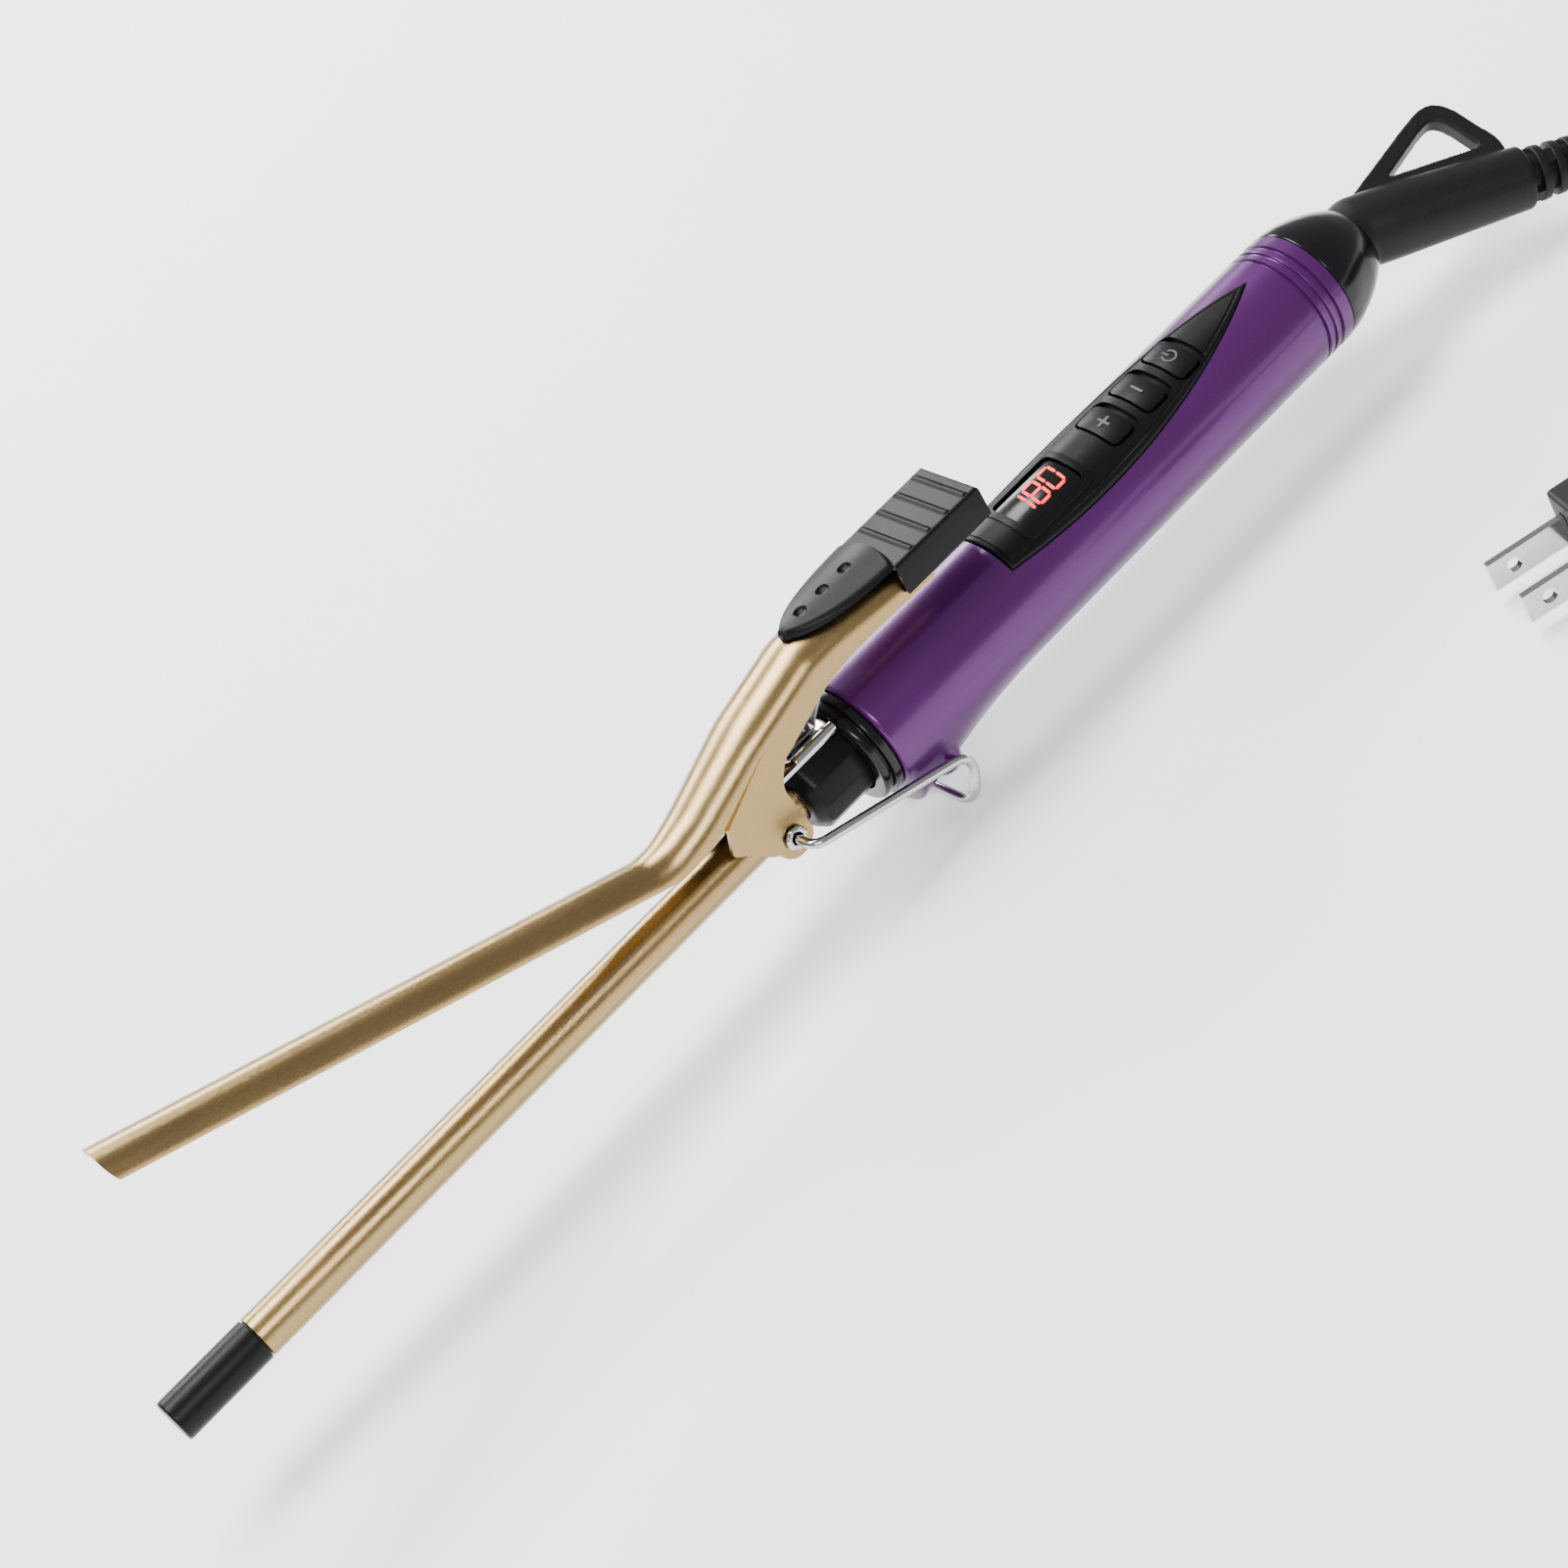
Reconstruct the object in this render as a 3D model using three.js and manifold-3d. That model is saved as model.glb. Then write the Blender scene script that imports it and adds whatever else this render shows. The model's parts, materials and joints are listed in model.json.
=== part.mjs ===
// A slim curling iron, built as separate pieces.
// Millimetres. +X runs along the barrel from its cool tip to the handle, +Z is the side of the thumb
// lever, and the origin is the middle of the flat end of the tip. The clip is held open, the wire stand
// is folded back under the handle, and the lead leaves the swivel at the rear of the handle.
import * as THREE from "three";
import { mergeVertices } from "three/addons/utils/BufferGeometryUtils.js";
import Module from "manifold-3d";

const wasm = await Module();
wasm.setup();

// ---------------------------------------------------------------- driving dimensions
const GAP = 0.3; // between pieces that touch

const BARREL_R = 4.5;
const BARREL_WALL = 0.5;
const TIP_LENGTH = 20.4;
const TUBE_LENGTH = 141; // from the tip to the front of the neck
const HEATER_R = 2.9;
const HEATER_LENGTH = 108;

const NECK_R = 9;
const NECK_LENGTH = 13.5; // visible, up to the collar
const COLLAR_R = 12.8;
const COLLAR_LENGTH = 4.2;

const HANDLE_R = 13.65;
const HANDLE_WALL = 1.8;
const HANDLE_LENGTH = 133.5;
const FOOT_DROP = 8; // how far the middle of the foot's front lies under the axis
const FOOT_R = 11.7;
const FOOT_LENGTH = 30;
const BOSS_R = 3.6;
const GROOVE_PITCH = 2.1;
const GROOVE_WIDTH = 0.9;
const GROOVE_DEPTH = 0.5;
const GROOVE_COUNT = 3;
const CAP_LENGTH = 14.7;
const CAP_MOUTH_R = 8;

const PIVOT_AHEAD = 6.1; // the hinge line lies this far ahead of the neck
const PIVOT_DROP = 0.7;
const RIVET_BORE_R = 1.3;
const RIVET_R = 1.9;
const RIVET_HEAD_R = 2.6;
const SHEET = 0.9; // sheet metal of the clip and the bracket
const EAR_SPAN = 14.8; // across the outsides of the clip's ears
const EAR_R = 4.4;

const CLIP_OPEN = 19.8; // degrees, as it is held here
const CLIP_REACH = 146.4; // from the hinge line to the clip's end
const CLIP_ARC = 75; // degrees each side of the top
const LEVER_PITCH = 19.8; // degrees from the clip's arm to the thumb plate
const LEVER_WIDTH = 17;
const LEVER_NOSE = 21; // from the hinge line to the nose of the thumb plate
const LEVER_SHOULDER = 45;
const LEVER_END = 68;
const LEVER_HEIGHT = 29.6; // of the ribbed top above the hinge line
const LEVER_SKIRT = 7;
const LEVER_WALL = 0.75;
const RIB_COUNT = 4;
const RIB_PITCH = 5;

const WIRE_R = 1;
const STAND_SPAN = 27; // between the middles of the two arms
const STAND_DROP = 16.5; // degrees under the axis
const STAND_REACH = 39.5;
const STAND_HOOK = 11.5;
const STAND_HOOK_TURN = 98; // degrees
const STAND_BEND = 5.6;

const PANEL_TURN = 12; // degrees towards the near side
const PANEL_PROUD = 0.45;
const PANEL_LENGTH = 79;
const PANEL_HALF = 9.3;
const WINDOW_LENGTH = 16;
const WINDOW_HALF = 5.3;
const BUTTON_LENGTH = 6;
const BUTTON_HALF = 5.2;
const BUTTON_PITCH = 9.9;
const BUTTON_PROUD = 0.5;
const BOARD_THICK = 1.6;
const BOARD_HALF = 7;
const BOARD_TOP = 7.3; // above the axis

const TAIL_BEND = 28; // degrees
const TAIL_TURN = 60; // degrees round from straight down, towards the near side
const TAIL_ROOT_R = 7.6;
const SLEEVE_LENGTH = 37;
const SLEEVE_END_R = 6.6;
const LOOP_THICK = 4;
const RELIEF_LENGTH = 32;
const RELIEF_R = 5.9;
const RELIEF_END_R = 4.3;
const RELIEF_RIBS = 9;

const CORD_R = 3;
const GROUND = -23.5; // where the iron lies, under the axis
const COIL_INNER_R = 27; // to the middle of the innermost turn
const COIL_COLUMNS = 4;
const COIL_LAYERS = 2;
const COIL_CENTRE = [414.7, -87.7];
const TIE_THICK = 0.9;
const TIE_WIDTH = 9;
const TIE_AT = -25; // degrees round the coil
const PLUG_LENGTH = 28;
const PLUG_WIDTH = 22;
const PLUG_HEIGHT = 13;
const BLADE_LENGTH = 17;
const BLADE_SPACING = 12.7;

// ---------------------------------------------------------------- places worked out from them
const TUBE_START = TIP_LENGTH + GAP;
const NECK_START = TIP_LENGTH + TUBE_LENGTH;
const COLLAR_START = NECK_START + NECK_LENGTH;
const HANDLE_START = COLLAR_START + COLLAR_LENGTH + GAP;
const HANDLE_END = HANDLE_START + HANDLE_LENGTH;
const HANDLE_BORE_R = HANDLE_R - HANDLE_WALL;
const CAP_START = HANDLE_END + GAP;
const CAP_END = CAP_START + CAP_LENGTH;
const PIVOT_X = NECK_START - PIVOT_AHEAD;
const PIVOT_Z = -PIVOT_DROP;
const EAR_OUT = EAR_SPAN / 2;
const EAR_IN = EAR_OUT - SHEET;
const CHEEK_OUT = EAR_IN - GAP;
const BARREL_BORE_R = BARREL_R - BARREL_WALL;
const PANEL_START = HANDLE_START + 41.5;
const PANEL_END = PANEL_START + PANEL_LENGTH;
const PANEL_R = HANDLE_R + PANEL_PROUD;
const WINDOW_START = PANEL_START + 8;
const BUTTON_START = WINDOW_START + WINDOW_LENGTH + 9;
const ELBOW_X = CAP_END + 3;

// ---------------------------------------------------------------- finishes
const finish = (color, roughness, metalness) =>
  new THREE.MeshStandardMaterial({ color, roughness, metalness });
const GOLD = finish(0xc9b083, 0.35, 0.9);
const PURPLE = finish(0x6b3a8c, 0.4, 0.1);
const BLACK = finish(0x232425, 0.5, 0);
const SOFT_BLACK = finish(0x1b1c1d, 0.7, 0);
const STEEL = finish(0xc8ccd0, 0.25, 1);
const BRASS = finish(0xb98e3e, 0.35, 1);
const GREEN = finish(0x1f5a3a, 0.6, 0);
const CERAMIC = finish(0xe6e2d8, 0.7, 0);
const GLASS = finish(0x101012, 0.1, 0);
const RED = finish(0xb01818, 0.5, 0);

// ---------------------------------------------------------------- solids
// A closed geometry as a solid that faces out.
function solid(geometry) {
  const bare = geometry.index ? geometry.toNonIndexed() : geometry.clone();
  for (const name of Object.keys(bare.attributes)) {
    if (name !== "position") bare.deleteAttribute(name);
  }
  const merged = mergeVertices(bare, 1e-4);
  const faces = [];
  for (let i = 0; i < merged.index.count; i += 3) {
    const [a, b, c] = merged.index.array.slice(i, i + 3);
    if (a !== b && b !== c && c !== a) faces.push([a, b, c]);
  }
  const build = (list) =>
    new wasm.Manifold(
      new wasm.Mesh({
        numProp: 3,
        vertProperties: merged.attributes.position.array,
        triVerts: new Uint32Array(list.flat()),
      }),
    );
  const made = build(faces);
  return made.volume() > 0 ? made : build(faces.map(([a, b, c]) => [a, c, b]));
}

function geometryOf(body) {
  const mesh = body.getMesh();
  return new THREE.BufferGeometry()
    .setAttribute("position", new THREE.BufferAttribute(new Float32Array(mesh.vertProperties), 3))
    .setIndex(new THREE.BufferAttribute(new Uint32Array(mesh.triVerts), 1));
}

function piece(group, name, body, material) {
  const mesh = new THREE.Mesh(geometryOf(body), material);
  mesh.name = name;
  group.add(mesh);
}

const join = (...bodies) => bodies.reduce((all, body) => all.add(body));
const cut = (body, ...tools) => tools.reduce((left, tool) => left.subtract(tool), body);

// Turned about the X axis from a closed list of [x, radius].
function turned(profile, sides = 32) {
  const points = profile.map(([x, r]) => new THREE.Vector2(r, x));
  if (profile[0][1] > 0) points.push(points[0].clone());
  return solid(new THREE.LatheGeometry(points, sides).rotateZ(-Math.PI / 2));
}

const rod = (x0, x1, r, sides = 24) => turned([[x0, 0], [x0, r], [x1, r], [x1, 0]], sides);
const tube = (x0, x1, inner, outer, sides = 32) =>
  turned([[x0, inner], [x0, outer], [x1, outer], [x1, inner]], sides);

function box(x0, x1, y0, y1, z0, z1) {
  const geometry = new THREE.BoxGeometry(x1 - x0, y1 - y0, z1 - z0);
  return solid(geometry.translate((x0 + x1) / 2, (y0 + y1) / 2, (z0 + z1) / 2));
}

// A round bar across the part, from y0 to y1.
function crossRod(x, z, r, y0, y1, sides = 20) {
  const geometry = new THREE.CylinderGeometry(r, r, y1 - y0, sides);
  return solid(geometry.translate(x, (y0 + y1) / 2, z));
}

// A round bar standing up, from z0 to z1.
function post(x, y, r, z0, z1, sides = 20) {
  const geometry = new THREE.CylinderGeometry(r, r, z1 - z0, sides).rotateX(Math.PI / 2);
  return solid(geometry.translate(x, y, (z0 + z1) / 2));
}

function outline(points) {
  return new THREE.Shape(points.map(([a, b]) => new THREE.Vector2(a, b)));
}

const extruded = (shape, depth) =>
  new THREE.ExtrudeGeometry(shape, { depth, bevelEnabled: false, curveSegments: 8 });

// A plan outline in X and Y, from z0 up to z1.
const plate = (shape, z0, z1) => solid(extruded(shape, z1 - z0).translate(0, 0, z0));

// A side outline in X and Z, from y0 to y1.
const sidePlate = (shape, y0, y1) =>
  solid(extruded(shape, y1 - y0).rotateX(Math.PI / 2).translate(0, y1, 0));

function roundBar(path, r, steps, sides) {
  const section = new THREE.Shape();
  for (let i = 0; i < sides; i++) {
    const a = (i / sides) * Math.PI * 2;
    const at = [r * Math.cos(a), r * Math.sin(a)];
    if (i) section.lineTo(...at);
    else section.moveTo(...at);
  }
  return solid(new THREE.ExtrudeGeometry(section, { steps, extrudePath: path, bevelEnabled: false }));
}

// Straight runs joined by round corners, with how far each corner's rounding reaches.
function wirePath(points, reaches) {
  const path = new THREE.CurvePath();
  let from = points[0];
  for (let i = 1; i < points.length - 1; i++) {
    const back = points[i - 1].clone().sub(points[i]).normalize();
    const on = points[i + 1].clone().sub(points[i]).normalize();
    const start = points[i].clone().addScaledVector(back, reaches[i - 1]);
    const end = points[i].clone().addScaledVector(on, reaches[i - 1]);
    path.add(new THREE.LineCurve3(from, start));
    path.add(new THREE.QuadraticBezierCurve3(start, points[i], end));
    from = end;
  }
  path.add(new THREE.LineCurve3(from, points[points.length - 1]));
  const along = path.getSpacedPoints(64);
  return new THREE.CatmullRomCurve3(along);
}

// ---------------------------------------------------------------- barrel
function tipCap() {
  const spigot = BARREL_BORE_R - GAP;
  return turned([
    [0, 0], [0, BARREL_R - 0.6], [0.6, BARREL_R], [TIP_LENGTH, BARREL_R],
    [TIP_LENGTH, spigot], [TIP_LENGTH + 7, spigot], [TIP_LENGTH + 7, 0],
  ]);
}

const barrelTube = () => tube(TUBE_START, HANDLE_START + 6, BARREL_BORE_R, BARREL_R);

const HEATER_START = TUBE_START + 10;
const heaterRod = () => rod(HEATER_START, HEATER_START + HEATER_LENGTH, HEATER_R);

function heaterLead(side) {
  const y = side * 1.5;
  return rod(HEATER_START + HEATER_LENGTH + GAP, PANEL_START + 6, 0.5, 8).translate([0, y, 0]);
}

function thermalSensor() {
  const x = HEATER_START + HEATER_LENGTH + GAP;
  return join(rod(x, x + 5, 0.8, 12), rod(x, PANEL_START + 6, 0.3, 8)).translate([0, 0, 2.2]);
}

// ---------------------------------------------------------------- neck, collar and bracket
function neckBlock() {
  const body = turned([
    [NECK_START, 0], [NECK_START, NECK_R - 2.4], [NECK_START + 2.4, NECK_R],
    [COLLAR_START + COLLAR_LENGTH, NECK_R], [COLLAR_START + COLLAR_LENGTH, NECK_R - 1],
    [HANDLE_START + 8, NECK_R - 1], [HANDLE_START + 8, 0],
  ], 12);
  const bore = rod(NECK_START - 1, HANDLE_START + 9, BARREL_R + GAP, 32);
  return cut(body, bore, post(SCREW_X, 0, SCREW_R + GAP, 5, NECK_R + 1));
}

function collarRing() {
  const end = COLLAR_START + COLLAR_LENGTH;
  const inner = NECK_R + GAP;
  return turned([
    [COLLAR_START, inner], [COLLAR_START, COLLAR_R - 1], [COLLAR_START + 0.5, COLLAR_R - 0.6],
    [COLLAR_START + 1.6, COLLAR_R - 0.6], [COLLAR_START + 1.7, COLLAR_R - 1.2],
    [COLLAR_START + 2.3, COLLAR_R - 1.2], [COLLAR_START + 2.4, COLLAR_R], [end, COLLAR_R],
    [end, HANDLE_BORE_R - GAP], [end + 7, HANDLE_BORE_R - GAP], [end + 7, inner],
  ]);
}

const SCREW_X = NECK_START + 8.5;
const SCREW_R = 1.2;
const SADDLE_Z = NECK_R + GAP;

function hingeBracket() {
  const front = PIVOT_X - 4.5;
  const bridge = box(front, NECK_START + 13, -CHEEK_OUT, CHEEK_OUT, SADDLE_Z, SADDLE_Z + SHEET);
  const cheek = (side) => {
    const inner = side * (CHEEK_OUT - SHEET);
    const outer = side * CHEEK_OUT;
    const shape = outline([
      [front, SADDLE_Z + 0.2], [front, PIVOT_Z - 2], [PIVOT_X - 2, PIVOT_Z - 4.2],
      [PIVOT_X + 2, PIVOT_Z - 4.2], [PIVOT_X + 3.3, PIVOT_Z - 1], [PIVOT_X + 2.4, SADDLE_Z + 0.2],
    ]);
    return sidePlate(shape, Math.min(inner, outer), Math.max(inner, outer));
  };
  const roll = (side) => rod(NECK_START + 2.4, NECK_START + 13.2, 1.2, 16)
    .translate([0, side * 5, SADDLE_Z + 0.6]);
  const whole = join(bridge, cheek(-1), cheek(1), roll(-1), roll(1));
  return cut(
    whole,
    crossRod(PIVOT_X, PIVOT_Z, RIVET_R + GAP, -EAR_OUT, EAR_OUT),
    post(SCREW_X, 0, SCREW_R + GAP, SADDLE_Z - 1, SADDLE_Z + 3),
    rod(front - 1, NECK_START + 2, BARREL_R + GAP),
  );
}

// The leaf lies under the screw and reaches back under the lever.
function clipSpring() {
  const z = SADDLE_Z + SHEET + GAP;
  const thick = 0.5;
  const line = new THREE.SplineCurve([
    new THREE.Vector2(NECK_START + 11, z), new THREE.Vector2(NECK_START + 13, z + 2.6),
    new THREE.Vector2(NECK_START + 20, z + 8), new THREE.Vector2(NECK_START + 28, z + 11.3),
  ]).getPoints(8).map((p) => [p.x, p.y]);
  const under = [[NECK_START + 3, z], ...line];
  const over = under.map(([x, y]) => [x - 0.1, y + thick]).reverse();
  const strip = sidePlate(outline([...under, ...over]), -2.5, 2.5);
  return cut(strip, post(SCREW_X, 0, SCREW_R + GAP, z - 1, z + 2));
}

// A cross recess in a round head whose top is at z.
function crossRecess(x, z, size) {
  const half = size * 0.17;
  return join(
    box(x - size, x + size, -half, half, z - 0.8, z + 1),
    box(x - half, x + half, -size, size, z - 0.8, z + 1),
  );
}

function bracketScrew() {
  const under = SADDLE_Z + SHEET + GAP + 0.5 + GAP;
  const head = post(SCREW_X, 0, 2.4, under, under + 1.6, 24);
  const shank = post(SCREW_X, 0, SCREW_R, BARREL_R + 1, under + 0.5, 16);
  return cut(join(head, shank), crossRecess(SCREW_X, under + 1.6, 1.5));
}

// ---------------------------------------------------------------- clip
// A channel through stations of [x, z, tilt, half width, crown, arc, drop], about the hinge line.
function channel(stations, thick) {
  const STEPS = 10;
  const positions = [];
  const rings = stations.map(([x, z, tilt, half, crown, arc, drop]) => {
    const ring = [];
    const wall = (inset, backwards) => {
      const side = [];
      for (let i = 0; i <= STEPS; i++) {
        const a = THREE.MathUtils.degToRad(arc * (1 - (2 * i) / STEPS));
        side.push([-(half - inset) * Math.sin(a), (crown - inset) * Math.cos(a) - crown]);
      }
      side.unshift([side[0][0], -drop]);
      side.push([side[side.length - 1][0], -drop]);
      return backwards ? side.reverse() : side;
    };
    const t = THREE.MathUtils.degToRad(tilt);
    for (const [y, h] of [...wall(0, false), ...wall(thick, true)]) {
      ring.push([x - h * Math.sin(t), y, z + h * Math.cos(t)]);
    }
    return ring;
  });
  const count = rings[0].length;
  const face = (...corners) => corners.forEach((corner) => positions.push(...corner));
  for (let s = 0; s + 1 < rings.length; s++) {
    for (let i = 0; i < count; i++) {
      const j = (i + 1) % count;
      face(rings[s][i], rings[s + 1][i], rings[s + 1][j]);
      face(rings[s][i], rings[s + 1][j], rings[s][j]);
    }
  }
  for (let i = 0; i + 1 < count / 2; i++) {
    const far = count - 1 - i;
    const first = rings[0];
    const last = rings[rings.length - 1];
    face(first[i], first[i + 1], first[far]);
    face(first[i + 1], first[far - 1], first[far]);
    face(last[i], last[far], last[i + 1]);
    face(last[i + 1], last[far], last[far - 1]);
  }
  const geometry = new THREE.BufferGeometry();
  geometry.setAttribute("position", new THREE.Float32BufferAttribute(positions, 3));
  return solid(geometry);
}

// A point of the thumb plate's frame in the clip's frame, both about the hinge line.
function fromLever(x, z) {
  const p = THREE.MathUtils.degToRad(LEVER_PITCH);
  return [x * Math.cos(p) - z * Math.sin(p), x * Math.sin(p) + z * Math.cos(p)];
}

function clipSheet() {
  const r = BARREL_R + 0.35 + SHEET - 0.1;
  const top = r + PIVOT_DROP;
  const armDrop = r - r * Math.cos(THREE.MathUtils.degToRad(CLIP_ARC)) + 0.3;
  const under = LEVER_HEIGHT - 0.4;
  const stations = [
    [-CLIP_REACH, top, 0, r, r, CLIP_ARC, armDrop],
    [-29.4, top, 0, r, r, CLIP_ARC, armDrop],
    [-25.5, top + 1.2, 20, r + 0.25, r - 0.1, 80, armDrop + 1],
    [-20, top + 5, 38, r + 0.95, r - 0.4, 88, 6],
    [-6, top + 17.5, 41, EAR_OUT, r - 0.4, 90, 10.5],
    [...fromLever(LEVER_NOSE - 0.6, under), 32, EAR_OUT, r - 0.4, 90, 8.8],
    [...fromLever(LEVER_NOSE + 7, under), 20, EAR_OUT, r - 0.4, 90, 8],
    [...fromLever(LEVER_NOSE + 16, under - 0.9), 14, EAR_OUT, r - 0.4, 90, 7],
    [...fromLever(LEVER_SHOULDER + 8, under - 2.6), 11, EAR_OUT, r - 0.4, 90, 6],
  ];
  const ear = (side) => {
    const shape = new THREE.Shape();
    shape.moveTo(-14, 8);
    shape.lineTo(-14, 2.2);
    shape.lineTo(-9.6, 0.8);
    shape.lineTo(-5.2, -2);
    shape.absarc(0, 0, EAR_R, Math.PI * 1.15, Math.PI * 2.02, false);
    shape.lineTo(1.4, 6.7);
    shape.lineTo(-0.5, 10.5);
    shape.lineTo(0.4, 14.7);
    shape.lineTo(3, 19.5);
    shape.lineTo(8, 24.5);
    shape.lineTo(-4, 19);
    const inner = side * EAR_IN;
    const outer = side * EAR_OUT;
    return sidePlate(shape, Math.min(inner, outer), Math.max(inner, outer));
  };
  const hole = crossRod(0, 0, RIVET_R + GAP, -EAR_OUT - 1, EAR_OUT + 1);
  const tipCut = cut(
    box(-CLIP_REACH - 2, -CLIP_REACH + 5, -9, 9, top - 9, top + 1.5),
    crossRod(-CLIP_REACH + 8.7, top + 1.9, 9, -10, 10, 64),
  );
  return cut(join(channel(stations, SHEET - 0.1), ear(-1), ear(1)), hole, tipCut);
}

function leverOutline(half, nose, end) {
  const shape = new THREE.Shape();
  shape.moveTo(end, -half);
  shape.lineTo(end, half);
  shape.lineTo(LEVER_SHOULDER, half);
  shape.quadraticCurveTo(LEVER_SHOULDER - 17, half - 0.4, nose + 1, 1.6);
  shape.quadraticCurveTo(nose - 0.3, 0, nose + 1, -1.6);
  shape.quadraticCurveTo(LEVER_SHOULDER - 17, -half + 0.4, LEVER_SHOULDER, -half);
  return shape;
}

// The thumb plate in its own frame: X along the plate, about the hinge line.
function leverCover() {
  const half = LEVER_WIDTH / 2;
  const crownR = 24;
  const outline = leverOutline(half, LEVER_NOSE, LEVER_SHOULDER + 1);
  const leaf = plate(outline, LEVER_HEIGHT - 0.1, LEVER_HEIGHT + 6);
  const crown = rod(LEVER_NOSE - 1, LEVER_SHOULDER + 2, crownR, 96)
    .translate([0, 0, LEVER_HEIGHT + 1.9 - crownR]);
  const body = box(LEVER_SHOULDER, LEVER_END, -half, half, LEVER_HEIGHT - LEVER_SKIRT, LEVER_HEIGHT);
  const hollow = box(
    LEVER_SHOULDER - 1, LEVER_END - LEVER_WALL, -half + LEVER_WALL, half - LEVER_WALL,
    LEVER_HEIGHT - LEVER_SKIRT - 1, LEVER_HEIGHT - 1.2,
  );
  const ribs = [];
  for (let i = 0; i < RIB_COUNT; i++) {
    const x = LEVER_SHOULDER + 4.8 + i * RIB_PITCH;
    ribs.push(box(x, x + 0.7, -half + 1, half - 1, LEVER_HEIGHT - 0.2, LEVER_HEIGHT + 0.35));
  }
  const dimples = [6.5, 12.6, 18.7].map((x) => solid(
    new THREE.SphereGeometry(1.3, 12, 8).translate(LEVER_NOSE + x, 0, LEVER_HEIGHT + 2.4)));
  return cut(join(leaf.intersect(crown), cut(body, hollow), ...ribs), ...dimples);
}

// A hollow rivet through the ear and the cheek; its flared head is outside.
function pivotRivet(side) {
  const outer = EAR_OUT + GAP;
  const inner = CHEEK_OUT - SHEET - GAP;
  const along = [[inner, RIVET_BORE_R], [inner, RIVET_R], [outer, RIVET_R], [outer, RIVET_HEAD_R],
    [outer + 0.5, RIVET_HEAD_R], [outer + 0.9, RIVET_HEAD_R - 0.5], [outer + 0.9, RIVET_BORE_R]];
  const points = along.map(([y, r]) => new THREE.Vector2(r, side * y));
  points.push(points[0].clone());
  return solid(new THREE.LatheGeometry(points, 20)).translate([PIVOT_X, 0, PIVOT_Z]);
}

// ---------------------------------------------------------------- wire stand
function kickStand() {
  const half = STAND_SPAN / 2;
  const end = CHEEK_OUT - SHEET;
  const down = THREE.MathUtils.degToRad(STAND_DROP);
  const turn = THREE.MathUtils.degToRad(STAND_DROP + STAND_HOOK_TURN);
  const corner = [PIVOT_X + STAND_REACH * Math.cos(down), PIVOT_Z - STAND_REACH * Math.sin(down)];
  const foot = [corner[0] + STAND_HOOK * Math.cos(turn), corner[1] - STAND_HOOK * Math.sin(turn)];
  const at = (x, y, z) => new THREE.Vector3(x, y, z);
  const route = [
    at(PIVOT_X, -end, PIVOT_Z), at(PIVOT_X, -half, PIVOT_Z), at(corner[0], -half, corner[1]),
    at(foot[0], -half, foot[1]), at(foot[0], half, foot[1]), at(corner[0], half, corner[1]),
    at(PIVOT_X, half, PIVOT_Z), at(PIVOT_X, end, PIVOT_Z),
  ];
  const reaches = [3, STAND_BEND, STAND_BEND, STAND_BEND, STAND_BEND, 3];
  return roundBar(wirePath(route, reaches), WIRE_R, 96, 8);
}

// ---------------------------------------------------------------- handle
function handleSleeve() {
  const profile = [
    [HANDLE_START, HANDLE_BORE_R], [HANDLE_START, HANDLE_R - 0.7], [HANDLE_START + 0.8, HANDLE_R],
  ];
  for (let i = GROOVE_COUNT; i > 0; i--) {
    const x = HANDLE_END - 1.6 - i * GROOVE_PITCH;
    profile.push([x, HANDLE_R], [x + 0.1, HANDLE_R - GROOVE_DEPTH]);
    profile.push([x + GROOVE_WIDTH - 0.1, HANDLE_R - GROOVE_DEPTH], [x + GROOVE_WIDTH, HANDLE_R]);
  }
  profile.push([HANDLE_END, HANDLE_R], [HANDLE_END, HANDLE_BORE_R]);
  const fall = Math.atan2(FOOT_DROP - 2, FOOT_LENGTH);
  const foot = rod(-6, FOOT_LENGTH + 8, FOOT_R, 32)
    .rotate([0, -THREE.MathUtils.radToDeg(fall), 0])
    .translate([HANDLE_START + 2, 0, -FOOT_DROP]);
  const boss = (side) => solid(new THREE.SphereGeometry(BOSS_R, 16, 12)
    .translate(HANDLE_START + 10, side * 8.3, -12));
  const front = box(HANDLE_START - 20, HANDLE_START, -30, 30, -30, 30);
  const whole = cut(join(turned(profile, 40), foot, boss(-1), boss(1)), front);
  const bore = rod(HANDLE_START - 1, HANDLE_END + 1, HANDLE_BORE_R, 32);
  const panelHole = plate(panelOutline(GAP), 2, HANDLE_R + 5).rotate([PANEL_TURN, 0, 0]);
  return cut(whole, bore, panelHole);
}

function panelOutline(grow) {
  const half = PANEL_HALF + grow;
  const start = PANEL_START - grow;
  const end = PANEL_END + grow;
  const shape = new THREE.Shape();
  shape.moveTo(start, -half * 0.8);
  shape.lineTo(start, half * 0.8);
  shape.bezierCurveTo(start + 22, half * 1.12, end - 22, half * 1.1, end, 0);
  shape.bezierCurveTo(end - 22, -half * 1.1, start + 22, -half * 1.12, start, -half * 0.8);
  return shape;
}

function roundedRect(x0, x1, half, corner) {
  const shape = new THREE.Shape();
  shape.moveTo(x0 + corner, -half);
  shape.lineTo(x1 - corner, -half);
  shape.quadraticCurveTo(x1, -half, x1, -half + corner);
  shape.lineTo(x1, half - corner);
  shape.quadraticCurveTo(x1, half, x1 - corner, half);
  shape.lineTo(x0 + corner, half);
  shape.quadraticCurveTo(x0, half, x0, half - corner);
  shape.lineTo(x0, -half + corner);
  shape.quadraticCurveTo(x0, -half, x0 + corner, -half);
  return shape;
}

const buttonX = (i) => BUTTON_START + i * BUTTON_PITCH;

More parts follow.
